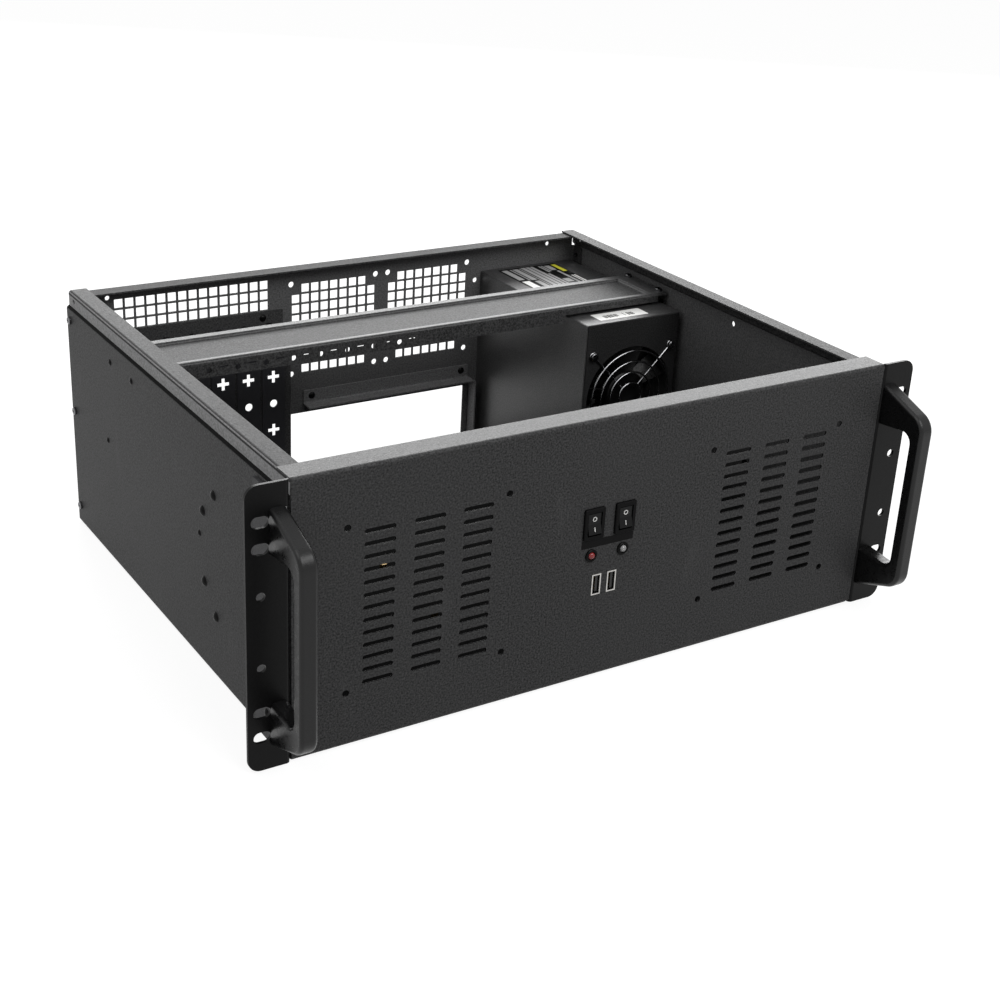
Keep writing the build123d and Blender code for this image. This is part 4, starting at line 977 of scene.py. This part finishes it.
class RACKCASE_OT_stage(bpy.types.Operator):
    """Set the floor, the plain surround, the lamps and the camera"""

    bl_idname = "rackcase.stage"
    bl_label = "Stage"

    def execute(self, context):
        look = context.scene.rackcase_stage
        scene = context.scene
        scene.view_settings.view_transform = "Standard"

        world = bpy.data.worlds.new("plain_surround")
        world.use_nodes = True
        nodes, links = world.node_tree.nodes, world.node_tree.links
        background = nodes["Background"]
        background.inputs["Color"].default_value = (1.0, 1.0, 1.0, 1.0)
        strength = nodes.new("ShaderNodeMapRange")
        strength.inputs["To Min"].default_value = look.surround
        strength.inputs["To Max"].default_value = 1.0
        links.new(direct_sight(nodes, links), strength.inputs["Value"])
        links.new(strength.outputs["Result"], background.inputs["Strength"])
        scene.world = world

        material = bpy.data.materials.new("pale_floor")
        material.use_nodes = True
        nodes, links = material.node_tree.nodes, material.node_tree.links
        shader = nodes["Principled BSDF"]
        shader.inputs["Base Color"].default_value = (*look.floor, 1.0)
        shader.inputs["Roughness"].default_value = 0.9
        shader.inputs["Specular IOR Level"].default_value = 0.0
        glow = nodes.new("ShaderNodeEmission")
        lift = nodes.new("ShaderNodeMath")
        lift.operation = "MULTIPLY"
        lift.inputs[1].default_value = FLOOR_GLOW
        links.new(direct_sight(nodes, links), lift.inputs[0])
        links.new(lift.outputs[0], glow.inputs["Strength"])
        both = nodes.new("ShaderNodeAddShader")
        links.new(shader.outputs[0], both.inputs[0])
        links.new(glow.outputs[0], both.inputs[1])
        links.new(both.outputs[0], nodes["Material Output"].inputs["Surface"])
        reach = np.linspace(-FLOOR_REACH, FLOOR_REACH, 3)
        x, y = np.meshgrid(reach, reach, indexing="ij")
        points = np.stack([x, y, np.full_like(x, FLOOR_LEVEL)], axis=-1).reshape(-1, 3)
        mesh = bpy.data.meshes.new("floor")
        mesh.from_pydata(points.tolist(), [], quads(len(reach), len(reach)).tolist())
        mesh.materials.append(material)
        floor = bpy.data.objects.new("floor", mesh)
        scene.collection.objects.link(floor)

        for name, setting, place, width, height in LAMPS:
            lamp(name, place, getattr(look, setting), width, height)

        camera_data = bpy.data.cameras.new("camera")
        camera_data.lens = look.lens
        camera_data.sensor_width = SENSOR_WIDTH
        camera_data.clip_start = NEAREST_SIGHT
        camera = bpy.data.objects.new("camera", camera_data)
        scene.collection.objects.link(camera)
        cos, sin = math.cos, math.sin
        turn = np.array([
            [cos(look.yaw), sin(look.yaw), 0],
            [-sin(look.yaw), cos(look.yaw), 0],
            [0, 0, 1],
        ])
        tilt = np.array([
            [1, 0, 0],
            [0, cos(look.pitch), sin(look.pitch)],
            [0, -sin(look.pitch), cos(look.pitch)],
        ])
        lean = np.array([
            [cos(look.roll), 0, sin(look.roll)],
            [0, 1, 0],
            [-sin(look.roll), 0, cos(look.roll)],
        ])
        right, forward, above = lean @ tilt @ turn
        axes = Matrix((right, above, -forward)).transposed().to_4x4()
        place = Matrix.Translation((look.camera_x, look.camera_y, look.camera_z))
        camera.matrix_world = place @ axes
        scene.camera = camera
        return {"FINISHED"}


class RACKCASE_PT_panel(bpy.types.Panel):
    """Every step that dresses the case"""

    bl_idname = "RACKCASE_PT_panel"
    bl_label = "Rack case"
    bl_space_type = "VIEW_3D"
    bl_region_type = "UI"
    bl_category = "Rack case"

    def draw(self, context):
        column = self.layout.column(align=True)
        for operator in OPERATORS:
            column.operator(operator.bl_idname)
        for name in SETTINGS:
            box = self.layout.box()
            group = getattr(context.scene, name)
            for key in group.__annotations__:
                box.prop(group, key)


OPERATORS = (
    RACKCASE_OT_sheet,
    RACKCASE_OT_fasteners,
    RACKCASE_OT_handles,
    RACKCASE_OT_controls,
    RACKCASE_OT_supply,
    RACKCASE_OT_guard,
    RACKCASE_OT_marks,
    RACKCASE_OT_contacts,
    RACKCASE_OT_labels,
    RACKCASE_OT_stage,
)
SETTINGS = {
    "rackcase_paint": RackCasePaint,
    "rackcase_marks": RackCaseMarks,
    "rackcase_guard": RackCaseGuard,
    "rackcase_labels": RackCaseLabels,
    "rackcase_stage": RackCaseStage,
}


def register():
    for kind in (*SETTINGS.values(), *OPERATORS, RACKCASE_PT_panel):
        bpy.utils.register_class(kind)
    for name, group in SETTINGS.items():
        setattr(bpy.types.Scene, name, bpy.props.PointerProperty(type=group))


def unregister():
    for name in SETTINGS:
        delattr(bpy.types.Scene, name)
    for kind in reversed((*SETTINGS.values(), *OPERATORS, RACKCASE_PT_panel)):
        bpy.utils.unregister_class(kind)


def main():
    register()
    bpy.ops.rackcase.sheet()
    bpy.ops.rackcase.fasteners()
    bpy.ops.rackcase.handles()
    bpy.ops.rackcase.controls()
    bpy.ops.rackcase.supply()
    bpy.ops.rackcase.guard()
    bpy.ops.rackcase.marks()
    bpy.ops.rackcase.contacts()
    bpy.ops.rackcase.labels()
    bpy.ops.rackcase.stage()
    bpy.context.view_layer.update()


if __name__ == "__main__":
    main()
